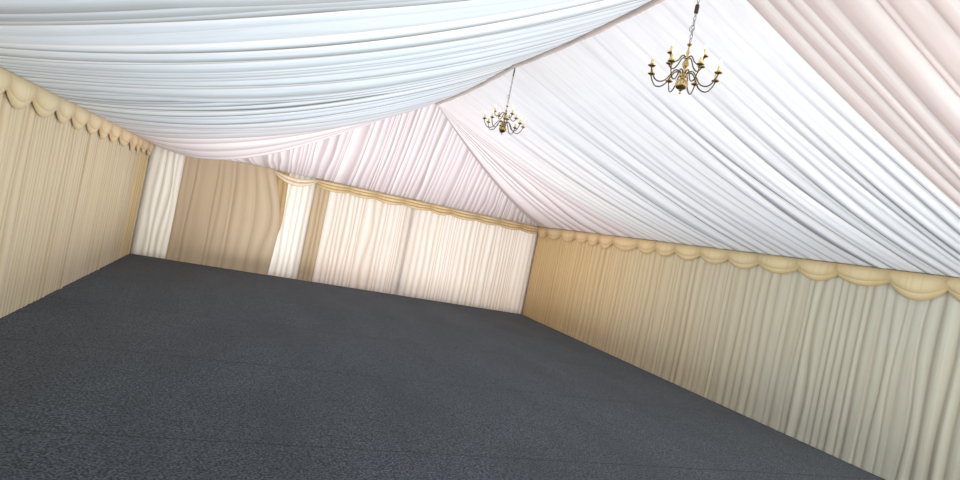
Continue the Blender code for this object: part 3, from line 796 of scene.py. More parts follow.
def carpet_finish(name):
    """Cut-pile event carpet: dark blue-grey, speckled, with brushed patches and a joint every 2 m."""
    finish, tree, shader, places = start_finish(name)
    speck = scaled_noise(tree, places["Object"], (1.0, 1.0, 1.0), 58.0, 4.0, 0.85)
    tuft = scaled_noise(tree, places["Object"], (1.0, 1.0, 1.0), 46.0, 4.0, 0.6)
    brushed = scaled_noise(tree, places["Object"], (1.0, 0.4, 1.0), 1.3, 3.0)
    moved = worked(tree, "ADD", coordinate(tree, places, "Y"), 100.35)
    joint = ranged(tree, worked(tree, "MODULO", moved, 2.0), 0.0, 0.022, 1.0, 0.0)
    base = blended(tree, ranged(tree, speck, 0.43, 0.60), (0.007, 0.010, 0.015), (0.101, 0.130, 0.163))
    base = blended(tree, ranged(tree, brushed, 0.38, 0.66, 0.0, 0.40), base, (0.020, 0.027, 0.036))
    base = blended(tree, joint, base, (0.010, 0.011, 0.014))
    set_shader(
        tree, shader, Base_Color=base, Roughness=0.96, Sheen_Weight=0.10, Specular_IOR_Level=0.04,
        Normal=bumped(tree, tuft, 0.55, 0.006),
    )
    return finish


# Ceiling cloths
# Painted light: the ridge tint brightens the lining by the ridge, and the eave tint casts a cooler colour
# by the walls
white_lining = cloth_finish(
    "ceiling_lining_white", (0.855, 0.88, 0.935), (0.115, 0.135, 0.170), (0.97, 0.98, 1.0), bump=0.06,
    streaks=16.0, far=(2.0, 4.8, (0.90, 0.855, 0.875), (0.38, 0.34, 0.33)), streak=0.10,
    ridge=(1.06, 1.03, 1.02), eave=(0.99, 1.015, 1.04),
)
# Painted shade: a darker, bluer copy of the ceiling lining for the left slope, which leaves room for the
# painted highlights
cool_lining_shaded = cloth_finish(
    "ceiling_lining_cool_shaded", (0.70, 0.79, 0.885), (0.11, 0.115, 0.085), (0.95, 0.97, 1.0), bump=0.06,
    streaks=16.0, far=(2.6, 6.2, (0.745, 0.705, 0.745), (0.26, 0.23, 0.24)), streak=0.12,
    ridge=(1.0, 0.95, 0.93),
)
warm_lining = cloth_finish(
    "ceiling_lining_warm", (0.72, 0.645, 0.635), (0.50, 0.39, 0.36), (1.0, 0.95, 0.93), bump=0.15,
    streaks=16.0, streak=0.20,
)
PINK_SHADE = (0.38, 0.31, 0.30)
PINK_TINT = (1.0, 0.97, 0.99)
pink_lining = cloth_finish(
    "hip_lining_pink", (0.81, 0.73, 0.78), PINK_SHADE, PINK_TINT, bump=0.08, streak=0.12,
)
# Painted shade: a darker copy of the pink hip cloth for the left far hip; its eave tint paints light that
# brightens it towards the wall
pink_left_shaded = cloth_finish(
    "hip_lining_pink_left", (0.715, 0.655, 0.70), PINK_SHADE, PINK_TINT, bump=0.08, streak=0.12,
    eave=(1.10, 1.10, 1.10),
)
# Painted shade: a darker copy of the pink hip cloth for the far end
pink_end_shaded = cloth_finish(
    "hip_lining_pink_end", (0.755, 0.675, 0.725), (0.46, 0.38, 0.38), PINK_TINT, bump=0.08, streak=0.10,
)
# Painted shadow: the ridge band's dark colour stands partly for a tape and partly for the shadow of the gap
# under the ridge
ridge_tape_and_shadow = cloth_finish(
    "ridge_band", (0.50, 0.45, 0.43), (0.26, 0.23, 0.21), (1.0, 0.86, 0.80), 0.0, 0.7, 60.0, 0.2, 0.4,
)

# Wall cloths
ivory_lining = cloth_finish(
    "wall_lining_ivory", (0.55, 0.565, 0.48), (0.41, 0.395, 0.32), (1.0, 0.97, 0.90), 0.08, bump=0.25,
    streaks=26.0, far=(0.5, 7.2, (0.73, 0.53, 0.265), (0.54, 0.37, 0.165)),
)
ivory_left = cloth_finish(
    "wall_lining_ivory_left", (0.65, 0.555, 0.385), (0.45, 0.35, 0.20), (1.0, 0.97, 0.90), 0.08, bump=0.25,
    streaks=26.0, far=(7.4, 7.9, (0.75, 0.585, 0.305), (0.50, 0.35, 0.15)),
)
tan_curtain = cloth_finish(
    "curtain_tan", (0.59, 0.485, 0.345), (0.48, 0.37, 0.25), (1.0, 0.95, 0.93), 0.05, bump=0.15,
)
strip_drape = cloth_finish(
    "drape_strip", (0.55, 0.45, 0.31), (0.41, 0.31, 0.18), (1.0, 0.96, 0.92), 0.05, bump=0.15,
)
gold_drape = cloth_finish(
    "drape_gold", (0.51, 0.38, 0.205), (0.37, 0.26, 0.12), (1.0, 0.95, 0.88), 0.05, bump=0.15,
)
warm_sheer = cloth_finish(
    "window_sheer", (0.88, 0.84, 0.81), (0.64, 0.53, 0.42), (1.0, 0.97, 0.94), 0.50, 0.8, 30.0, 0.1, 0.12,
)
left_sheer = cloth_finish(
    "window_sheer_left", (0.90, 0.87, 0.83), (0.56, 0.50, 0.38), (1.0, 0.98, 0.94), 0.50, 0.8, 30.0, 0.1,
    0.12,
)

# Swags and pelmets
gold_swag = cloth_finish(
    "pelmet_gold", (0.76, 0.60, 0.36), (0.38, 0.26, 0.11), (1.0, 0.95, 0.86), 0.05, 0.5, 20.0, 0.4,
)
cream_swag = cloth_finish(
    "pelmet_cream", (0.90, 0.80, 0.66), (0.50, 0.37, 0.20), (1.0, 0.95, 0.90), 0.05, 0.5, 20.0, 0.3,
)
ivory_swag = cloth_finish(
    "pelmet_ivory", (0.71, 0.62, 0.39), (0.42, 0.31, 0.14), (1.0, 0.95, 0.86), 0.08, 0.6, 20.0, 0.3,
    far=(2.0, 6.5, (0.82, 0.61, 0.345), (0.44, 0.29, 0.12)),
)

# Skins, frame, floor and trims
roof_coat = coated_finish(
    "roof_coated", (0.84, 0.85, 0.86), (0.70, 0.71, 0.71), (0.62, 0.63, 0.65), BAY, "Y",
)
WALL_COLOURS = ((0.80, 0.81, 0.82), (0.64, 0.64, 0.62), (0.60, 0.61, 0.62))
side_coat = coated_finish("wall_coated_side", *WALL_COLOURS, BAY, "Y")
end_coat = coated_finish("wall_coated_end", *WALL_COLOURS, 2 * POST_X, "X")
alloy = plain_finish(
    "frame_alloy_drawn", (0.66, 0.67, 0.69), (0.52, 0.53, 0.55), 0.34, 30.0, 1.0, bump=0.12,
    distance=0.0006, grain=(1.0, 1.0, 0.08),
)
board = plain_finish(
    "deck_boards", (0.42, 0.30, 0.18), (0.28, 0.19, 0.11), 0.6, 14.0, bump=0.2, distance=0.002,
    grain=(1.0, 0.08, 1.0),
)
trim_alloy = plain_finish(
    "trim_alloy_milled", (0.62, 0.63, 0.65), (0.50, 0.51, 0.53), 0.38, 24.0, 0.9, distance=0.0004,
)
cap_white = plain_finish(
    "cap_coated", (0.80, 0.81, 0.82), (0.70, 0.71, 0.71), 0.5, 3.0, distance=0.0006,
)
border_white = plain_finish(
    "border_welded", (0.66, 0.67, 0.69), (0.58, 0.59, 0.60), 0.5, 4.0, distance=0.0006,
)
skirt_grey = plain_finish(
    "skirt_weathered", (0.58, 0.58, 0.57), (0.42, 0.41, 0.38), 0.6, 5.0, bump=0.2, distance=0.0008,
)
clear = pane_finish("window_clear")
carpet_pile = carpet_finish("carpet_cut_pile")

# Chandelier metals, sleeves, tape and bulbs
brass = brass_finish("chandelier_brass", (0.84, 0.66, 0.30), (0.38, 0.25, 0.10), 0.16)
# Painted reflection: a darker copy of the brass for the arms, standing in for the dark floor that they
# mirror
shaded_arm_brass = brass_finish("shaded_arm_brass", (0.30, 0.21, 0.11), (0.10, 0.065, 0.035), 0.24)
chain_brass = brass_finish("chain_brass", (0.42, 0.35, 0.24), (0.20, 0.16, 0.12), 0.32)
candle = plain_finish("candle_sleeve", (0.80, 0.66, 0.36), (0.66, 0.50, 0.24), 0.35, 60.0)
tape = plain_finish("chain_tape", (0.030, 0.014, 0.016), (0.05, 0.025, 0.025), 0.5, 120.0)
bulb = bulb_finish("candle_bulb")

FINISH_OF = {
    "deck_board": board,
    "carpet_pile": carpet_pile,
    "frame_alloy": alloy,
    "roof_pvc": roof_coat,
    "clear_pane": clear,
    "ceiling_cloth": white_lining,
    "hip_cloth": pink_lining,
    "ivory_cloth": ivory_lining,
    "tan_cloth": tan_curtain,
    "sheer_cloth": warm_sheer,
    "gold_cloth": gold_swag,
    "polished_brass": brass,
}
slot_of = {part["node"]: part["material_slot"] for part in frame["record"]["subparts"]}
for node_name, node in frame["nodes"].items():
    finish = FINISH_OF.get(slot_of[node_name])
    if slot_of[node_name] == "wall_pvc":
        finish = side_coat if node_name.startswith("side") else end_coat
    for holder in node.material_slots:
        holder.material = finish


# Ceiling linings, bay by bay

# Fold styles: mean width and its scatter, depth over width, leaning, powers of the lobes, fading, slack,
# slow waves, points a fold, rows, calm towards the ridge and where it starts, power of the shade, the
# seeded part of the shade, and the end hip's lean and bow
BANDED = {
    "mean": 0.300, "scatter": 0.60, "depth": 0.17, "bias": 0.75, "full": (1.7, 3.2), "fade": 0.25,
    "slack": 0.010, "waves": 0.010, "per_fold": 16, "rows": 60, "calm": 0.25, "calm_from": 0.5,
    "edge": 1.6, "dapple": 0.10,
}
LOBED = {
    "mean": 0.200, "scatter": 0.50, "depth": 0.15, "bias": 0.75, "full": (1.8, 3.6), "fade": 0.30,
    "slack": 0.008, "waves": 0.008, "per_fold": 14, "rows": 52, "calm": 0.85, "calm_from": 0.45,
    "edge": 2.0, "dapple": 0.22,
}
SMOOTH = {
    "mean": 0.600, "scatter": 0.35, "depth": 0.07, "bias": 0.50, "full": (1.6, 2.6), "fade": 0.30,
    "slack": 0.010, "per_fold": 24, "rows": 40, "edge": 2.6, "dapple": 0.08,
}
FANNED = {
    "mean": 0.115, "scatter": 0.60, "depth": 0.08, "bias": 0.55, "full": (1.6, 3.0), "fade": 0.25,
    "slack": 0.012, "per_fold": 12, "rows": 40, "edge": 3.8, "dapple": 0.10, "lean": 0.82, "bow": 0.0,
}
PLAIN = {
    "mean": 0.180, "scatter": 0.55, "depth": 0.18, "bias": 0.40, "full": (1.6, 3.2), "fade": 0.30,
    "slack": 0.012, "per_fold": 8, "rows": 22, "edge": 1.6, "dapple": 0.10, "lean": 0.0, "bow": 0.10,
}

# Folds that stand out: place along the tent and strength
LEFT_FOLDS = (
    (-4.10, 0.4), (-3.75, 0.6), (-3.30, 0.5), (-2.95, 0.7), (-2.60, 0.3), (-2.35, 0.25), (-2.13, 0.25),
    (-1.99, 0.2), (-1.88, 0.5), (-1.70, 0.1), (-1.50, 0.2), (-1.37, 1.0), (-1.15, 1.0), (-0.98, 0.5),
    (-0.81, 0.3), (-0.66, 0.5), (-0.54, 0.6), (-0.37, 0.3), (-0.18, 0.8), (0.05, 0.4), (0.30, 1.0),
    (0.55, 0.4), (0.71, 0.8), (0.90, 1.0), (1.11, 0.8), (1.37, 0.8), (1.50, 0.4), (1.70, 0.9),
    (1.92, 0.4), (2.18, 0.8), (2.47, 0.5), (2.80, 0.3), (3.17, 0.7), (3.57, 0.4), (4.02, 0.5),
)
RIGHT_FOLDS = (
    (-1.36, 0.5), (-1.23, 0.6), (-1.15, 0.2), (-1.03, 0.6), (-0.92, 0.6), (-0.84, 0.2), (-0.72, 0.5),
    (-0.55, 0.6), (-0.47, 0.2), (-0.35, 1.0), (-0.25, 0.2), (-0.12, 0.2), (0.00, 1.0), (0.22, 0.8),
    (0.44, 0.5), (0.56, 0.1), (0.69, 0.3), (0.85, 0.3), (1.10, 0.3), (1.30, 0.3), (1.50, 0.5),
    (1.77, 0.5), (1.95, 0.6), (2.34, 0.5), (2.51, 0.6), (2.78, 0.5), (3.00, 0.2), (3.18, 0.5),
    (3.47, 0.6), (3.72, 0.5), (3.95, 0.3), (4.20, 0.4),
)

# Painted shade over whole folds of the left slope: place along the tent and shade
LEFT_FOLD_SHADES = (
    (-2.02, 0.44), (-1.92, 0.34), (-1.82, 0.0), (-1.30, 0.0), (-1.22, 0.22), (-1.05, 0.05), (4.0, 0.10),
)

# Bays from the near one on, each its style, cloth, chosen folds and painted shade over whole folds
LEFT_BAYS = [(BANDED, cool_lining_shaded, LEFT_FOLDS, LEFT_FOLD_SHADES)] * 3
RIGHT_BAYS = [
    (dict(LOBED, mean=0.13, calm=0.25), warm_lining, (), ()),
    (LOBED, white_lining, RIGHT_FOLDS, ()),
    (LOBED, white_lining, RIGHT_FOLDS, ()),
]
for side, hand, bays, far_cloth, far_style in (
    (-1, "left", LEFT_BAYS, pink_left_shaded, dict(SMOOTH, mean=1.1)),
    (1, "right", RIGHT_BAYS, pink_lining, SMOOTH),
):
    for number, (start, (style, finish, places, bay_shades)) in enumerate(zip(FRAME_PLACES, bays), start=1):
        side_bay(
            "ceiling_%s_bay_%d" % (hand, number), side, start, start + BAY, finish, 100 * number + 7 * side,
            style, places, bay_shades,
        )
    side_hip("ceiling_%s_hip_far" % hand, side, 1, far_cloth, 510 + side, far_style)
    side_hip("ceiling_%s_hip_near" % hand, side, -1, pink_lining, 530 + side, PLAIN)
end_hip("ceiling_end_far", 1, pink_end_shaded, 611, FANNED)
end_hip("ceiling_end_near", -1, pink_lining, 613, PLAIN)


def ridge_band(name, y0, y1, seed, rows=7, columns=120):
    """A gathered band over the joint of the slopes: an arch across, hanging a little between frames.

    Its half width swells slowly along the ridge, y gives a fine ruche, and z follows
    the ridge edge of the linings. Its dark colour is partly painted shadow of the gap under the
    ridge, and more painted shade darkens it towards its sides.
    """
    chance = np.random.default_rng(seed)
    y = np.linspace(y0, y1, columns)[None, :]
    across = np.linspace(-1, 1, rows)[:, None]
    part = (y - y0) / (y1 - y0)
    gather = 0.0025 * np.sin(2 * np.pi * y / 0.045 + 2.5 * np.sin(2 * np.pi * y / 0.31)) * (1 - across ** 2)
    half = 0.029 + 0.006 * np.sin(2 * np.pi * y / 0.9 + chance.uniform(0, 6))
    x = across * half + 0.004 * np.sin(2 * np.pi * y / 0.6 + chance.uniform(0, 6)) * (1 - across ** 2)
    ridge = EAVE_Z + RISE * (HALF_WIDTH - SLIT) / HALF_WIDTH
    z = ridge - 0.005 - RIDGE_SAG * 4 * part * (1 - part) - 0.034 * (1 - across ** 2) - gather
    points = np.stack([np.broadcast_to(x, z.shape), np.broadcast_to(y, z.shape), z], axis=-1)
    # Painted shade, darker towards the band's sides
    fold = np.broadcast_to(across ** 2, z.shape)
    return cloth_piece(
        name, points, fold, ridge_tape_and_shadow, None, "stretched", flip=True,
    )


for number, start in enumerate(FRAME_PLACES[:-1], start=1):
    ridge_band("ridge_band_%d" % number, start, start + BAY, 640 + number)


# Wall linings, sheers and curtains

SHEER_END = 4.310
for side, hand, finish in ((-1, "left", ivory_left), (1, "right", ivory_lining)):
    hung_cloth(
        "wall_pleats_" + hand, hand, 0.03 - HALF_LENGTH, HALF_LENGTH - 0.03, finish,
        "wall_lining_" + hand, 700 + side, 0.120, 0.11,
    )
hung_cloth(
    "sheer_pleats_left", "far", -SHEER_END, -1.13, left_sheer, "far_sheer_left",
    727, 0.120, 0.13, scatter=0.35,
)
hung_cloth(
    "sheer_pleats_right", "far", -0.81, SHEER_END, warm_sheer, "far_sheer_right",
    722, 0.100, 0.13, scatter=0.60,
)
hung_cloth(
    "post_drape_pleats", "far", -1.135, -0.805, strip_drape, "far_post_drape",
    723, 0.130, 0.14, 20,
)
hung_cloth(
    "tan_curtain_pleats", "far", -3.69, -2.00, tan_curtain, "far_curtain_tan",
    724, 0.150, 0.10, 14, 24, off=0.050, head=HEAD_Z - 0.010, scatter=0.45, bulge=0.31,
)
hung_cloth(
    "gold_tail_pleats", "far", -2.04, -1.70, gold_drape, "far_curtain_tan",
    726, 0.110, 0.14, 14, 24, off=0.028, head=HEAD_Z - 0.010, bulge=0.05, spread=0.0, tuck=0.12,
)
for name, x0, x1, foot, rows, seed in (
    ("near_pleats_1", -SHEER_END, -DOOR_HALF, HEM_Z, 12, 741),
    ("near_pleats_2", DOOR_HALF, SHEER_END, HEM_Z, 12, 742),
    ("near_pleats_header", -DOOR_HALF, DOOR_HALF, DOOR_HEAD, 5, 745),
):
    hung_cloth(
        name, "near", x0, x1, ivory_lining, "wall_lining_near", seed, 0.090, 0.30, 8, rows,
        foot=foot,
    )


# Swags and pelmets

for side, hand in ((-1, "left"), (1, "right")):
    swag_band(
        "swags_" + hand, hand, 0.028, 0.05 - HALF_LENGTH, HALF_LENGTH - 0.05, 0.262, 0.145, 29, ivory_swag,
        800 + side, head=SWAG_TOP + 0.012, folds=1, puff=0.7,
    )
swag_band(
    "pelmet_ruched_far", "far", 0.040, -1.10, 4.28, 0.20, 0.155, 9, gold_swag, 811,
    tiers=1,
)
swag_band(
    "swag_deep_far", "far", 0.060, -2.00, -1.10, 0.27, 0.06, 1, cream_swag, 812,
    tiers=1, folds=2, per_swag=60, sink=0.07,
)
swag_band(
    "swags_near", "near", 0.028, -4.28, 4.28, 0.14, 0.10, 15, ivory_swag, 821,
)


# Chandeliers

# Heights over the foot of the stem, and outlines as radius and height
LAMP_DROP = 0.777
STEM_TOP = 0.330
LINK_PITCH = 0.0292
RING_PLACE = (-0.012, -0.008, 0.415)
STEM = [
    (0.0000, 0.0000), (0.0040, 0.0012), (0.0066, 0.0050), (0.0062, 0.0100), (0.0042, 0.0150),
    (0.0048, 0.0190), (0.0095, 0.0215), (0.0125, 0.0240), (0.0118, 0.0265), (0.0180, 0.0290),
    (0.0290, 0.0350), (0.0365, 0.0440), (0.0405, 0.0550), (0.0412, 0.0640), (0.0385, 0.0750),
    (0.0320, 0.0850), (0.0230, 0.0930), (0.0140, 0.0985), (0.0115, 0.1020), (0.0150, 0.1045),
    (0.0225, 0.1075), (0.0255, 0.1115), (0.0260, 0.1260), (0.0235, 0.1310), (0.0160, 0.1345),
    (0.0105, 0.1390), (0.0090, 0.1480), (0.0085, 0.1580), (0.0120, 0.1680), (0.0180, 0.1790),
    (0.0212, 0.1900), (0.0208, 0.2000), (0.0160, 0.2100), (0.0108, 0.2170), (0.0100, 0.2205),
    (0.0150, 0.2240), (0.0168, 0.2290), (0.0150, 0.2340), (0.0095, 0.2400), (0.0072, 0.2480),
    (0.0075, 0.2560), (0.0105, 0.2620), (0.0112, 0.2680), (0.0080, 0.2740), (0.0058, 0.2820),
    (0.0052, 0.2950), (0.0058, 0.3050), (0.0110, 0.3110), (0.0150, 0.3160), (0.0155, 0.3195),
    (0.0110, 0.3230), (0.0060, 0.3260), (0.0045, 0.3290), (0.0000, 0.3300),
]
PAN = [
    (0.0000, -0.0140), (0.0040, -0.0130), (0.0055, -0.0105), (0.0062, -0.0075), (0.0105, -0.0058),
    (0.0200, -0.0030), (0.0242, 0.0008), (0.0250, 0.0032), (0.0240, 0.0038), (0.0190, 0.0006),
    (0.0120, -0.0008), (0.0105, 0.0018), (0.0108, 0.0080), (0.0122, 0.0110), (0.0125, 0.0130),
    (0.0095, 0.0135), (0.0000, 0.0135),
]
SLEEVE = [
    (0.0000, 0.0132), (0.0092, 0.0132), (0.0096, 0.0150), (0.0094, 0.0425), (0.0098, 0.0438),
    (0.0092, 0.0449), (0.0075, 0.0450), (0.0000, 0.0450),
]
BULB = [
    (0.0000, 0.0440), (0.0060, 0.0445), (0.0068, 0.0470), (0.0076, 0.0510), (0.0094, 0.0570),
    (0.0102, 0.0625), (0.0096, 0.0685), (0.0076, 0.0750), (0.0047, 0.0808), (0.0020, 0.0848),
    (0.0000, 0.0860),
]
TAPE = [
    (0.0000, -0.0290), (0.0110, -0.0290), (0.0135, -0.0260), (0.0128, -0.0100), (0.0138, 0.0080),
    (0.0126, 0.0240), (0.0105, 0.0290), (0.0000, 0.0290),
]
LOWER_ARM = [
    (0.012, 0.124), (0.030, 0.142), (0.058, 0.142), (0.082, 0.112), (0.108, 0.070),
    (0.142, 0.050), (0.176, 0.056), (0.202, 0.090), (0.215, 0.122),
]
UPPER_ARM = [
    (0.008, 0.226), (0.024, 0.240), (0.044, 0.232), (0.066, 0.200), (0.092, 0.181),
    (0.118, 0.184), (0.134, 0.200), (0.140, 0.208),
]


def chandelier(name, y, node, beam_z, tape_z, tape_size):
    """A turned stem, two tiers of curved arms with pans, sleeves and bulbs, and a link chain.

    A loose ring hangs from the chain, and a block of tape wraps it at tape_z over the foot.
    """
    foot = np.array([0.0, y, beam_z - LAMP_DROP])
    metal = [turned(STEM, foot, 48)]
    arms, sleeves, bulbs, chain = [], [], [], []
    for knots, count, first in ((LOWER_ARM, 8, 30.7), (UPPER_ARM, 4, 8.2)):
        line = smooth_line(knots, 34)
        for number in range(count):
            turn = math.radians(first + 360.0 / count * number)
            out = np.array([math.cos(turn), math.sin(turn), 0.0])
            path = foot + line[:, :1] * out + line[:, 1:] * UP
            arms.append(swept(path, 0.0042, (-out[1], out[0], 0.0), 10))
            cup = path[-1] + 0.010 * UP
            metal.append(turned(PAN, cup, 28))
            sleeves.append(turned(SLEEVE, cup, 20))
            bulbs.append(turned(BULB, cup, 16))
    links = int((LAMP_DROP - STEM_TOP - 0.020) / LINK_PITCH)
    heights = STEM_TOP + 0.012 + LINK_PITCH * np.arange(links)
    for number, height in enumerate(heights):
        chain.append(link(foot + height * UP, math.radians(20 + 90 * (number % 2))))
    reached = heights[-1] + 0.016
    hook = [
        (0.0, reached - 0.004), (0.0045, reached), (0.0045, LAMP_DROP - 0.006),
        (0.018, LAMP_DROP - 0.004), (0.018, LAMP_DROP), (0.0, LAMP_DROP),
    ]
    chain.append(turned(hook, foot, 20))
    chain.append(link(foot + np.array(RING_PLACE), math.radians(-35), 0.046, 0.032, 0.0019, 26, 7))
    taped = [turned(np.array(TAPE) * tape_size, foot + tape_z * UP, 14)]
    for part, arrays, finish in (
        ("metal", metal, brass),
        ("arms", arms, shaded_arm_brass),
        ("chain", chain, chain_brass),
        ("sleeves", sleeves, candle),
        ("bulbs", bulbs, bulb),
        ("tape", taped, tape),
    ):
        points, quads = joined(arrays)
        piece = close_up(new_piece(name + "_" + part, points, quads, finish))
        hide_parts(node)


BEAM_Z = float(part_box("ridge_beam")[0][2])
chandelier("chandelier_far_dressed", 1.5, "chandelier_far", BEAM_Z, 0.690, (0.55, 1.6))
chandelier("chandelier_near_dressed", -1.4, "chandelier_near", BEAM_Z, 0.548, (1.0, 0.95))


# Outside trims: strips over the frames, caps on ridge and hips, borders round the openings, skirts

# Thickness of the trims and their gap to the skin, widths of strips and caps, and how far the middle of
# a cap lies from its hip or from the ridge
TRIM = 0.0035
TRIM_GAP = 0.0004
POST_STRIP = 0.050
ROOF_STRIP = 0.060
HIP_CAP = 0.058
HIP_OFF = 0.030
RIDGE_CAP = 0.145
RIDGE_OFF = 0.072
ROOF_PITCH = math.radians(18.0)
ROOF_HALF = 4.500
ROOF_END = 9.000
ROOF_EAVE = 2.400
WALL_X = float(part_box("side_wall_right")[1][0])
WALL_Y = float(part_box("far_wall")[1][1])
FLAP_FOOT = 2.250
SKIRT = 0.120


def bar(start, stop, side, width):
    """A flat strip between two points, as wide as given along side and TRIM thick, off its surface."""
    start = np.asarray(start, float)
    stop = np.asarray(stop, float)
    side = np.asarray(side, float) / np.linalg.norm(side)
    out = np.cross(stop - start, side)
    out = out / np.linalg.norm(out)
    if out @ ((start + stop) / 2 - UP) < 0:
        out = -out
    corners = []
    for end in (start, stop):
        for lift in (0.0, TRIM):
            for way in (-0.5, 0.5):
                corners.append(end + side * width * way + out * (TRIM_GAP + lift))
    quads = np.array([(0, 1, 3, 2), (4, 6, 7, 5), (0, 4, 5, 1), (2, 3, 7, 6), (0, 2, 6, 4), (1, 5, 7, 3)])
    return np.array(corners), quads


def bars_piece(name, bars, finish):
    """Strips joined into one piece, faced outwards, with flat faces."""
    points, quads = joined(bars)
    piece = close_up(new_piece(name, points, quads, finish))
    piece.data.shade_flat()
    return piece


def upright(x, y, side):
    """A strip up a wall, from the ground to the foot of the roof's flap."""
    return bar((x, y, 0.0), (x, y, FLAP_FOOT), side, POST_STRIP)


def level_bar(first, last, z, width):
    """A strip along a wall at one height, between two plan places."""
    return bar((*first, z), (*last, z), UP, width)


def on_roof(x, y):
    """The point of the roof skin's outer face over a plan place: a hip roof of one pitch."""
    inset = min(ROOF_HALF - abs(x), ROOF_END - abs(y))
    return np.array([x, y, ROOF_EAVE + math.tan(ROOF_PITCH) * inset])


def down_roof(x, y):
    """The way down a roof slope that faces a plan direction."""
    return np.array([x * math.cos(ROOF_PITCH), y * math.cos(ROOF_PITCH), -math.sin(ROOF_PITCH)])


def spans(stops, gap=0.030):
    """The stretches between stops, each ending a gap short of them."""
    return [(first + gap, last - gap) for first, last in zip(stops[:-1], stops[1:])]


strips = []
caps = []
for y in FRAME_PLACES:
    for side in (-1, 1):
        strips.append(bar(on_roof(side * 4.48, y), on_roof(side * 0.15, y), (0, 1, 0), ROOF_STRIP))
        strips.append(upright(side * WALL_X, y, (0, 1, 0)))
for side in (-1, 1):
    for end in (-1, 1):
        low = on_roof(side * 4.47, end * 8.97)
        high = on_roof(side * 0.05, end * 4.55)
        hip = (high - low) / np.linalg.norm(high - low)
        for down in (down_roof(side, 0), down_roof(0, end)):
            level = down - hip * float(down @ hip)
            level = level / np.linalg.norm(level)
            caps.append(bar(low + level * HIP_OFF, high + level * HIP_OFF, level, HIP_CAP))
        strips.append(upright(side * POST_X, end * WALL_Y, (1, 0, 0)))
        strips.append(upright(side * WALL_X, end * (WALL_Y - 0.03), (0, 1, 0)))
        strips.append(upright(side * (WALL_X - 0.03), end * WALL_Y, (1, 0, 0)))
    off = side * RIDGE_OFF
    caps.append(bar(on_roof(off, -4.45), on_roof(off, 4.45), down_roof(side, 0), RIDGE_CAP))

borders = []
for low, high in (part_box(name) for name in frame["nodes"] if "_window_" in name):
    y = math.copysign(WALL_Y, low[1])
    for z in (high[2] + POST_STRIP / 2, low[2] - POST_STRIP / 2):
        borders.append(level_bar((low[0] - POST_STRIP, y), (high[0] + POST_STRIP, y), z, POST_STRIP))
    for x in (low[0] - POST_STRIP / 2, high[0] + POST_STRIP / 2):
        borders.append(bar((x, y, low[2]), (x, y, high[2]), (1, 0, 0), POST_STRIP))
over_door = DOOR_HEAD + POST_STRIP / 2
borders.append(level_bar((-DOOR_HALF, -WALL_Y), (DOOR_HALF, -WALL_Y), over_door, POST_STRIP))

skirts = []
for side in (-1, 1):
    for first, last in spans([-8.93, *FRAME_PLACES, 8.93]):
        skirts.append(level_bar((side * WALL_X, first), (side * WALL_X, last), SKIRT / 2, SKIRT))
    for first, last in spans([-4.42, -POST_X, POST_X, 4.42]):
        doorway = side < 0 and first < 0 < last
        if not doorway:
            skirts.append(level_bar((first, side * WALL_Y), (last, side * WALL_Y), SKIRT / 2, SKIRT))
bars_piece("outside_frame_strips", strips, trim_alloy)
bars_piece("roof_caps", caps, cap_white)
bars_piece("opening_borders", borders, border_white)
bars_piece("wall_skirts", skirts, skirt_grey)


# Studio floor, lights and the photograph's eye

def area_light(name, place, aim, width, height, power, colour, glossy=True):
    """A soft rectangular light that the camera doesn't see, nor the metal where glossy is off."""
    lamp = bpy.data.lights.new(name, "AREA")
    lamp.shape = "RECTANGLE"
    lamp.size = width
    lamp.size_y = height
    lamp.energy = power
    lamp.color = colour
    holder = bpy.data.objects.new(name, lamp)
    bpy.context.scene.collection.objects.link(holder)
    holder.location = place
    away = np.asarray(place, float) - np.asarray(aim, float)
    holder.rotation_euler = Vector(away).to_track_quat("Z", "Y").to_euler()
    holder.visible_camera = False
    holder.visible_glossy = glossy
    return holder


floor_mesh = bpy.data.meshes.new("studio_floor")
floor_corners = [(x * 60, y * 60, -0.004) for x, y in ((-1, -1), (1, -1), (1, 1), (-1, 1))]
floor_mesh.from_pydata(floor_corners, [], [(0, 1, 2, 3)])
studio_floor = bpy.data.objects.new("studio_floor", floor_mesh)
bpy.context.scene.collection.objects.link(studio_floor)
floor_mesh.materials.append(plain_finish("studio_paper", (0.66, 0.66, 0.66), (0.64, 0.64, 0.64), 0.9, 2.0))

world = bpy.data.worlds.new("studio_air")
world.use_nodes = True
air = world.node_tree.nodes["Background"]
air.inputs["Color"].default_value = (0.92, 0.95, 1.0, 1.0)
air.inputs["Strength"].default_value = 0.72
bpy.context.scene.world = world

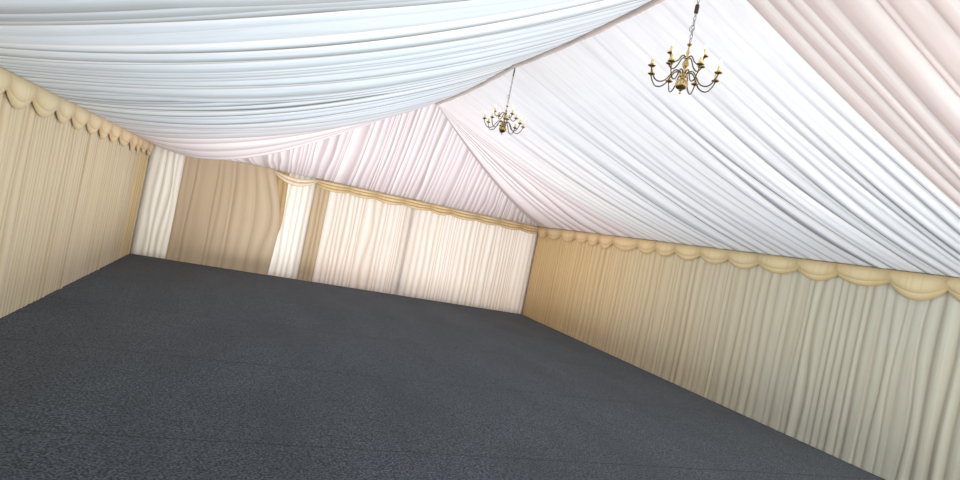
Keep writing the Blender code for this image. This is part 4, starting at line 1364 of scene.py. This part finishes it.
# Daylight through the sheers, from just inside the far wall
LIGHT_Y = 8.90
LIGHT_Z = 1.17
for name, x, width, power, colour in (
    ("corner", -3.60, 1.3, 5.6, (0.99, 1.0, 0.95)),
    ("left", -1.85, 1.3, 7.8, (1.0, 1.0, 1.0)),
    ("middle", 0.0, 2.1, 8.2, (1.0, 0.95, 0.89)),
    ("right", 2.70, 3.1, 13.8, (1.0, 0.95, 0.89)),
):
    area_light("window_light_" + name, (x, LIGHT_Y, LIGHT_Z), (x, 0.0, LIGHT_Z), width, 2.1, power, colour)

# Light thrown up from the floor, a key from the near end, and the sky outside
for name, x, y, length, power, colour in (
    ("inside_bounce", -0.2, 1.0, 12.0, 352, (1.0, 0.985, 0.97)),
    ("far_bounce", 0.0, 6.4, 4.0, 105, (1.0, 0.98, 0.98)),
):
    area_light(name, (x, y, 0.25), (x, y, 3.0), 6.0, length, power, colour, glossy=False)
area_light("inside_key", (1.5, -8.2, 1.3), (-1.0, 3.0, 2.8), 5.0, 1.6, 680, (1.0, 0.99, 0.97), glossy=False)
area_light("outside_sky", (14.0, -18.0, 22.0), (0.0, 0.0, 1.0), 16.0, 16.0, 2900, (1.0, 0.98, 0.95))

lens = bpy.data.cameras.new("eye")
lens.sensor_width = 36.0
lens.lens = FOCAL_PX * 36.0 / 960
lens.clip_start = 0.05
lens.clip_end = 300
eye = bpy.data.objects.new("eye", lens)
bpy.context.scene.collection.objects.link(eye)
yaw, pitch, roll = (math.radians(angle) for angle in (YAW_DEG, PITCH_DEG, ROLL_DEG))
ahead = np.array([math.sin(yaw) * math.cos(pitch), math.cos(yaw) * math.cos(pitch), math.sin(pitch)])
right = np.array([math.cos(yaw), -math.sin(yaw), 0.0])
up = np.cross(right, ahead)
axes = np.stack([
    right * math.cos(roll) + up * math.sin(roll),
    up * math.cos(roll) - right * math.sin(roll),
    -ahead,
])
eye.matrix_world = Matrix.Translation(EYE) @ Matrix(axes.T.tolist()).to_4x4()
bpy.context.scene.camera = eye
bpy.context.scene.view_settings.view_transform = "Standard"
